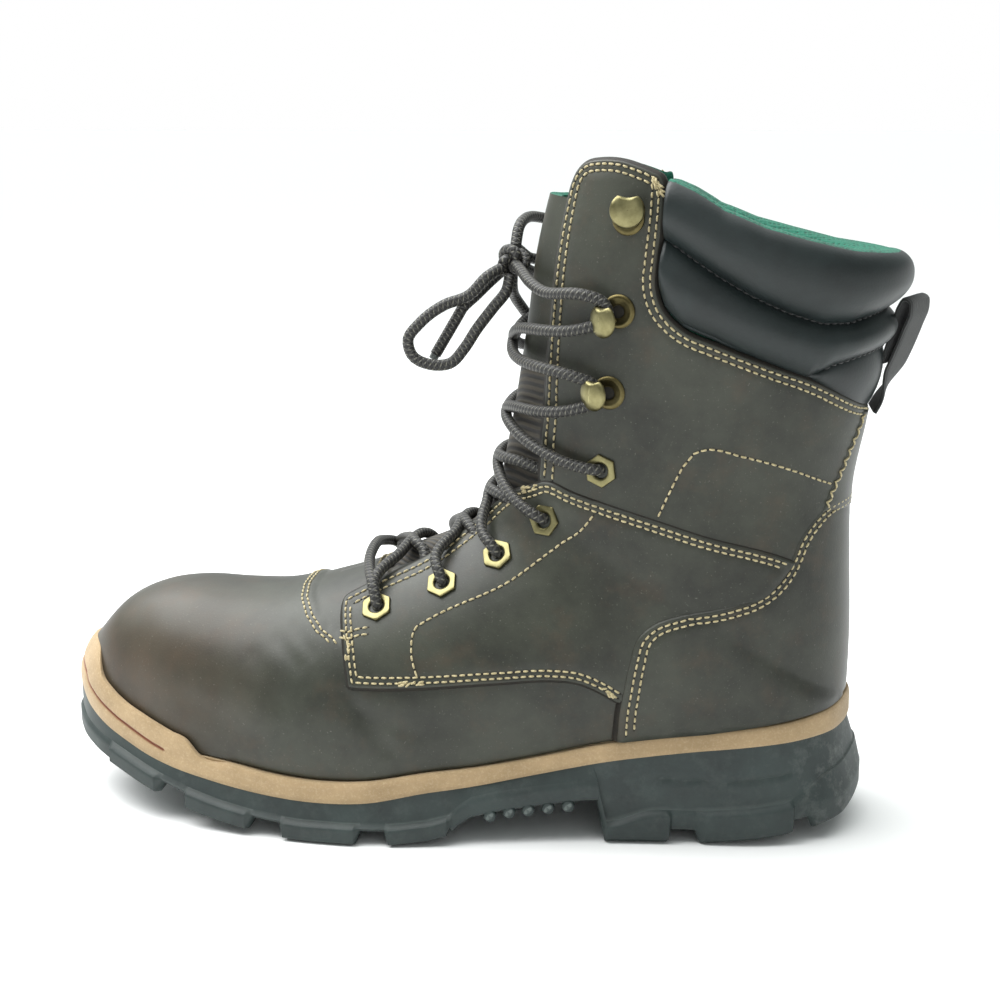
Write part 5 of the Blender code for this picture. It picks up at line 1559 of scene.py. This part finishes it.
def collarWall(z, share, side, fronts):  # the wall under the collar and its level way out
    front = np.interp(z, collarPad["levels"], fronts)
    turn = front + (math.pi - front) * share
    row = levelRow(z, turn, side)
    point = upperPoint(row, turn, side)
    safe = np.minimum(turn, math.pi - 0.02)
    across = upperPoint(row, safe + 0.015, side) - upperPoint(row, safe - 0.015, side)
    out = unit(np.stack([-across[..., 1], across[..., 0], 0 * across[..., 0]], axis=-1) * side)
    out = np.where((share > 0.999)[..., None], np.array((1.0, 0, 0)), out)
    flip = np.sum(out * (point - np.array((110.0, 0, 0))) * (1, 1, 0), axis=-1) < 0
    return point, np.where(flip[..., None], -out, out)


# sections from the front seam to the back, each from the lower seam over the top and down inside
def collarRows(side):
    share = np.linspace(0, 1, collarPad["steps"] + 1)
    fronts = collarFronts(side)
    x = collarWall(np.full(len(share), 205.0), share, side, fronts)[0][:, 0]
    low, high, crease, lowCrease = (
        np.interp(x, *np.array(collarPad[key]).T) for key in ("seam", "top", "crease", "lowCrease"))
    back = np.clip((x - 75) / 80, 0, 1)
    if side == inner:  # the far side stands a little lower
        high = high - shaftCut["innerDrop"] * (1 - 0.8 * back)
    front, rear, depth = collarPad["front"], collarPad["back"], collarPad["depth"]
    out = {key: front[key] + (rear[key] - front[key]) * back for key in front}
    crease = np.clip(crease, low + 8, high - 8)
    lowCrease = np.clip(lowCrease, low + 0.4, crease - 6)
    split = ramp(lowCrease - low, 0.5, 5)  # the lowest roll fades out towards the front
    lowDepth = 0.2 + (out["low"] * 0.5 - 0.2) * split
    rows = []  # height, way out, slot

    def addRoll(z0, z1, d0, d1, bulge, steps):  # a padded roll between two seams
        for k in range(steps):
            f = 0.5 - 0.5 * math.cos(math.pi * k / steps)
            rows.append((z0 + (z1 - z0) * f, d0 + (d1 - d0) * f + bulge * math.sin(math.pi * f) ** 0.75, 0))

    addRoll(low, lowCrease, collarPad["tuck"] + 0 * x, lowDepth, out["low"] * 0.6 * split,
            collarPad["lowSteps"])
    addRoll(lowCrease, crease, lowDepth, out["crease"], out["mid"] - (lowDepth + out["crease"]) / 2,
            collarPad["midSteps"])
    fattest = crease + 0.5 * (high - crease)
    apex = 0.1 * out["top"] - 2.2
    for k in range(14):  # top roll, up to where it is fattest
        f = (k / 14) ** 1.3
        swell = math.sin(0.5 * math.pi * f) ** 0.7
        rows.append((crease + (fattest - crease) * f,
                     out["crease"] + (out["top"] - out["crease"]) * swell, 0))
    for k in range(16):  # over the top, where the lining starts
        f = 0.5 * math.pi * k / 16
        rows.append((fattest + (high - fattest) * math.sin(f) ** 0.9,
                     apex + (out["top"] - apex) * math.cos(f) ** 0.9, 0 if k < 12 else 1))
    for k in range(6):  # lining down the inside
        f = 0.5 * math.pi * k / 6
        rows.append((high - 7.0 * (1 - math.cos(f)), apex - (apex + depth) * math.sin(f), 1))
    for f in (0.0, 0.15, 0.3, 0.45, 0.6, 0.75, 0.9, 1.0):
        rows.append((high - 7.0 + (low - high + 7.0) * f, -depth * (1.0 if f < 1 else 0.6) + 0 * x, 1))
    ups, outs, slots = zip(*rows)
    z, d = np.stack(ups, axis=1), np.stack(outs, axis=1)
    point, way = collarWall(z, np.repeat(share[:, None], z.shape[1], axis=1), side, fronts)
    return point + way * d[..., None], list(slots), way, split


def addCollar():
    grids = {}
    lowSteps, upper = collarPad["lowSteps"], collarPad["lowSteps"] + collarPad["midSteps"]
    for side in sides:
        grids[side], slots, way, split = collarRows(side)
        for column, kept in ((upper, split > -1), (lowSteps, split > 0.6)):  # stitches in the creases
            sewLine(grids[side][kept, column][2:], way[kept, column][2:], 0.35, "dark")
    grid = np.concatenate([grids[outer], grids[inner][-2::-1]])
    rows, columns = grid.shape[:2]
    piece = addPiece("collar_padding", grid, tubeFaces(rows, columns), [cuffSkin, meshLining],
                     ["collar"], slots * (rows - 1) + [0, 0])


addCollar()
print("collar: rolls and lining")


# Tongue

tongueCut = {
    "rows": (8.9, 24.05),
    "halves": (20.0, 33.0),
    "thick": 4.5,
    "tuck": 4.2,
    "bulge": -0.8,
    "leatherFrom": 20.8,  # row where the leather top part starts
}


def addTongue():
    first, last = tongueCut["rows"]
    s = np.linspace(first, last, 150)
    share = np.linspace(-1, 1, 47)
    ss, cc = np.meshgrid(s, share, indexing="ij")
    y = cc * np.interp(ss, (7.3, last), tongueCut["halves"])
    opened = ramp(1 - np.abs(y) / (sectionAt(ss)[9] - 1.0), 0.0, 0.75)
    drop = tongueCut["tuck"] + (tongueCut["bulge"] - tongueCut["tuck"]) * opened
    under = ramp(ss, upperForm["plugEnd"] + 0.25, upperForm["plugEnd"] - 0.05)
    drop = drop + (4.6 - drop) * under  # goes in under the plug
    crown, normal = crownPoint(ss, y), crownNormal(ss, y)
    thick = tongueCut["thick"] * (1 - np.abs(cc) ** 6 * 0.7)
    top = crown - normal * drop[..., None]
    bottom = crown - normal * (drop + thick)[..., None]
    loops = np.concatenate([top, bottom[:, ::-1]], axis=1)
    rows, columns = loops.shape[:2]
    leather = np.repeat((s[:-1] > tongueCut["leatherFrom"])[:, None], columns, axis=1)
    onTop = np.tile(np.arange(columns) < len(share), (rows - 1, 1))
    slots = np.where(onTop, np.where(leather, 0, 1), 2).ravel().tolist() + [1, 2]
    piece = addPiece("tongue_padded", loops, tubeFaces(rows, columns), [nubuck, twill, meshLining],
                     ["tongue"], slots, sharp=70)
    across = np.linspace(-20, 20, 60)
    sewCrown(np.full_like(across, tongueCut["leatherFrom"] + 0.1), across, 0.9)


addTongue()


# Pull loop

pullLoop = {
    "line": ((155.0, 157.6), (157.6, 162.6), (161.4, 171.0), (165.2, 180.0), (168.2, 188.4), (170.2, 195.0),
             (169.8, 198.4), (167.8, 199.2), (166.0, 196.6), (164.4, 189.6), (162.2, 181.6), (160.8, 176.0)),
    "width": 22.0,
    "thick": 1.7,
    "twist": 0.42,
}


def addPullLoop():
    line = smoothRoute(pullLoop["line"], 0.8)
    ahead = unit(np.gradient(line, axis=0))
    half, wide = pullLoop["thick"] / 2, pullLoop["width"] / 2
    across = np.linspace(-wide, wide, 24)
    thin = half * (1 - (np.abs(across) / wide) ** 12 * 0.6)
    profile = [*zip(-thin, across), *zip(thin[::-1], across[::-1])]
    rows = []
    for (x, z), (dx, dz) in zip(line, ahead):  # it hangs a little turned, near edge forward
        turned = pullLoop["twist"] * ramp(z, 160, 175)
        rows.append([(x - dz * off + y * turned, y, z + dx * off) for off, y in profile])
    addPiece("pull_loop_webbing", np.array(rows), tubeFaces(len(rows), len(profile)), [webbing],
             ["pull_loop"], sharp=50)


addPullLoop()
print("tongue and pull loop")


# Eyelets and hooks

eyeletRim = {
    "corner": 6.2,
    "hole": 2.85,
    "thick": 1.1,
    "turns": (2, 14, 22, 33, 10),  # how each was turned when it was set, degrees
}
hookForm = {
    "base": 6.0,
    "hole": 2.3,
    "cap": 6.1,
    "capThick": 2.1,
    # share of the cap's radius, share of its thickness
    "dome": ((0.02, -0.25), (0.93, -0.3), (1.0, -0.1), (1.0, 0.12), (0.97, 0.3), (0.9, 0.48), (0.78, 0.66),
             (0.6, 0.84), (0.4, 0.94), (0.2, 0.99), (0.02, 1.0)),
    # cap from the base: ahead, along, out, and its lean towards the throat in degrees
    "caps": ((3.8, 0.3, 6.0, 26), (3.7, -2.8, 6.0, 26), (-2.0, 2.6, 6.2, -24)),
    "neckWide": 5.0,
}


def eyeletSeat(k, side):
    return seatFrame(laces["eyelets"][k], side, quarters["thick"] if k < 4 else shaftCut["thick"])


def addEyelet(k, side):
    origin, ahead, along, out = eyeletSeat(k, side)
    turn = math.radians(eyeletRim["turns"][k] * -side)

    def sixSides(angle):
        bent = (angle - turn) % (math.pi / 3) - math.pi / 6
        return math.cos(math.pi / 6) / np.cos(bent)

    corner, hole, thick, count = eyeletRim["corner"], eyeletRim["hole"], eyeletRim["thick"], 72
    profile = [(corner - 0.1, -0.2, 0), (corner, 0.1, 0), (corner, thick * 0.7, 0),
               (corner - 0.25, thick * 0.95, 0), (corner - 0.6, thick, 0), (hole + 1.0, thick, 0.6),
               (hole + 0.35, thick * 0.96, 1), (hole, thick * 0.7, 1), (hole, -2.4, 1)]
    points, faces = lathe(origin, ahead, along, out, profile, count, sixSides)
    if np.cross(ahead, along) @ out < 0:
        faces = faces[:, ::-1]
    well = len(points)  # a dark bottom closes the hole: painted shade in the well
    last = well - count
    bottom = [[last + j, last + (j + 1) % count, well] for j in range(count)]
    name = f"{sideNames[side]}_{k + 1}"
    addPiece(f"eyelet_brass_{name}", np.concatenate([points, [origin - out * 2.2]]), faces.tolist() + bottom,
             [brass, edgeStainAndShade], [f"eyelet_{name}"], [0] * len(faces) + [1] * count, sharp=40)


def hookParts(place, side, k):  # points, faces and slots of the base, the cap and the neck
    origin, ahead, along, out = seatFrame(place, side, shaftCut["thick"])
    aheadBy, alongBy, outBy, lean = hookForm["caps"][k]
    base, hole, count = hookForm["base"], hookForm["hole"], 40
    flip = -1 if np.cross(ahead, along) @ out < 0 else 1
    profile = [(base, -0.2, 1), (base, 0.5, 1), (base - 0.5, 1.0, 1), (base - 1.6, 1.15, 1),
               (hole + 1.2, 0.8, 1), (hole + 0.5, 1.0, 1), (hole, 0.8, 1), (hole, 0.2, 1), (0.05, 0.15, 1)]
    points, faces = lathe(origin, ahead, along, out, profile, count)
    # the hole's wall and floor take the dark edge colour: painted shade in the hole
    parts = [(points, faces[:, ::flip], [2] * (count * 6) + [1] * (count * 2))]

    # cap: a low dome, its top edge cut off in a shallow hollow with two points
    tilt = math.radians(lean)
    capOut = unit(out * math.cos(tilt) + ahead * math.sin(tilt))
    capAhead = unit(ahead * math.cos(tilt) - out * math.sin(tilt))
    aside = ahead * aheadBy + along * alongBy
    capMiddle = origin + aside + out * outBy
    cap, thick, count = hookForm["cap"], hookForm["capThick"], 72
    angle = anglesRound(count)
    off = np.abs((angle - math.pi / 2 + math.pi) % (2 * math.pi) - math.pi)
    edge = np.where(off < 0.6, cap * (0.72 + 0.11 * (off / 0.6) ** 2) / np.cos(np.minimum(off, 0.6)), cap)
    rings = []
    for share, height in hookForm["dome"]:
        reach = np.minimum(share * cap, edge * (0.4 + 0.6 * share))
        rings.append(capMiddle + capOut * height * thick + ringWays(angle, capAhead, along) * reach[:, None])
    faces = gridFaces(len(rings), count, wrap=True)
    parts.append((np.concatenate(rings), faces[:, ::flip], [0] * len(faces)))

    # neck: a strip bent from the base up to the cap
    start = origin + aside * 0.55 + out * 0.7
    end = capMiddle - capOut * 0.5
    route = smoothRoute([start, (start + end) / 2 + unit(aside + 1e-6) * 1.6, end], 0.6)
    way = unit(np.gradient(route, axis=0))
    wideWay = unit(np.cross(way, out))
    thickWay = np.cross(wideWay, way)
    half = hookForm["neckWide"] / 2
    section = ((-half, -0.45), (-half, 0.45), (half, 0.45), (half, -0.45))
    grid = np.stack([route + wideWay * a + thickWay * b for a, b in section], axis=1)
    faces = gridFaces(len(route), 4, wrap=True)
    return parts + [(grid.reshape(-1, 3), faces, [0] * len(faces))]


def addHook(k, side):
    points, faces, slots, count = [], [], [], 0
    for part, partFaces, partSlots in hookParts(laces["hooks"][k], side, k):
        points.append(part)
        faces += (partFaces + count).tolist()
        slots += partSlots
        count += len(part)
    name = f"{sideNames[side]}_{k + 1}"
    addPiece(f"hook_brass_{name}", np.concatenate(points), faces, [brass, edgeStainAndShade, brassBlackenedAndShaded],
             [f"hook_{name}"], slots, sharp=40)


for addFitting, count in ((addEyelet, 5), (addHook, 3)):
    for side in sides:
        for k in range(count):
            addFitting(k, side)
print("fittings: 10 eyelets and 6 hooks")


# Lace through the eyelets and round the hooks

laceRun = {
    "over": (3.6, 5.6),  # height over the tongue in the middle and near the edges
    "hookWrap": ((9.5, 5.4, 4.6), (6.0, 4.2, 3.7), (3.6, 2.0, 3.2), (3.0, 0.0, 3.1)),  # ahead, along, out
}


def eyeletExit(k, side):
    origin, ahead, along, out = eyeletSeat(k, side)
    start = origin + ahead * 0.6 + along * 0.3  # the lace leans on the throat side of the hole
    return [start - out * 2.2, start + out * 1.2, start + out * 3.2 + ahead * 2.8,
            origin + ahead * 8.0 + out * 3.4]


def levelAt(place, side):
    s, turn = wallPlace(*place, side)
    return s, upperPoint(s, turn, side)[1]


def overRun(start, end, shares, lift=laceRun["over"]):  # points over the throat between two levels
    points = []
    for f in shares:
        s, y = (a + (b - a) * f for a, b in zip(start, end))
        points.append(lifted(s, y, np.interp((2 * f - 1) ** 2, (0, 1), lift)))
    return points


def diveUnder(s, side):  # in under the edge of the throat
    gap = float(sectionAt(s)[9])
    return [lifted(s, side * (gap + past), lift) for past, lift in ((-3.0, 1.2), (1.5, -1.6), (5.0, -3.4))]


def hookPoints(k, side):  # in below the hook's neck and out above it
    origin, ahead, along, out = seatFrame(laces["hooks"][k], side, shaftCut["thick"])
    wrap = [(a, -b, c) for a, b, c in laceRun["hookWrap"]] + list(laceRun["hookWrap"][-2::-1])
    return [origin + ahead * a + along * b + out * c for a, b, c in wrap]


def addLaceRun():
    seats = laces["eyelets"] + laces["hooks"][:2]
    levels = {side: [levelAt(place, side) for place in seats] for side in sides}
    for side in sides:
        here, there, name = levels[side], levels[-side], sideNames[side]
        for k in range(4):
            start, end = here[k], there[k + 1]
            route = eyeletExit(k, side) + overRun(start, end, (0.36, 0.5, 0.62), (3.4, 5.0))
            route += diveUnder(end[0] - 0.28 * (end[0] - start[0]), -side)
            nodes = [f"lace_cross_{k + 1}"] if side == outer else []
            addTube(f"lace_strand_{name}_{k + 1}", smoothRoute(route, 1.4), nodes)
        route = eyeletExit(4, side) + overRun(here[4], there[5], (0.36, 0.5, 0.64)) + hookPoints(0, -side)
        route += overRun(there[5], here[6], (0.36, 0.5, 0.64), (5.2, 6.4)) + hookPoints(1, side)
        route += overRun(here[6], laces["knot"], (0.4, 0.6, 0.8), (5.0, 7.0))
        route.append(knotMiddle + unit(route[-1] - knotMiddle) * 3.0)
        nodes = ["lace_cross_5", "lace_cross_6"] if side == outer else []
        addTube(f"lace_top_run_{name}", smoothRoute(route, 1.4), nodes + [f"lace_tie_{name}"])
    ends = [(levels[side][0][0] - 0.15, levels[side][0][1]) for side in sides]
    route = eyeletExit(0, outer)[:3] + overRun(*ends, (0.3, 0.5, 0.7), (5.5, 5.8))
    route += eyeletExit(0, inner)[2::-1]
    addTube("lace_first_bar", smoothRoute(route, 1.4), ["lace_bar"])
    # knot: a loose overhand, drawn as one strand wound twice round
    turn = anglesRound(120)
    ring = 3.3 + 1.7 * np.cos(3 * turn)
    knot = np.stack([ring * np.cos(2 * turn) * 0.95, 1.9 * np.sin(3 * turn) * 1.25,
                     ring * np.sin(2 * turn) * 0.95], axis=1)
    knot = knotMiddle + np.concatenate([knot, knot[:2]])
    addTube("lace_overhand_knot", knot, ["lace_knot"], laces["thick"] / 2 * 0.92)


addLaceRun()
print("lace: strands, bar and knot")


def addStitches():
    for name, material in (("gold", thread), ("dark", blackThread), ("hole", edgeStainAndShade)):
        points, faces = stitchBatches[name]
        addPiece(f"stitches_{name}", np.concatenate(points), np.concatenate(faces), [material])


addStitches()
print("stitches:", {name: len(batch[0]) for name, batch in stitchBatches.items()})
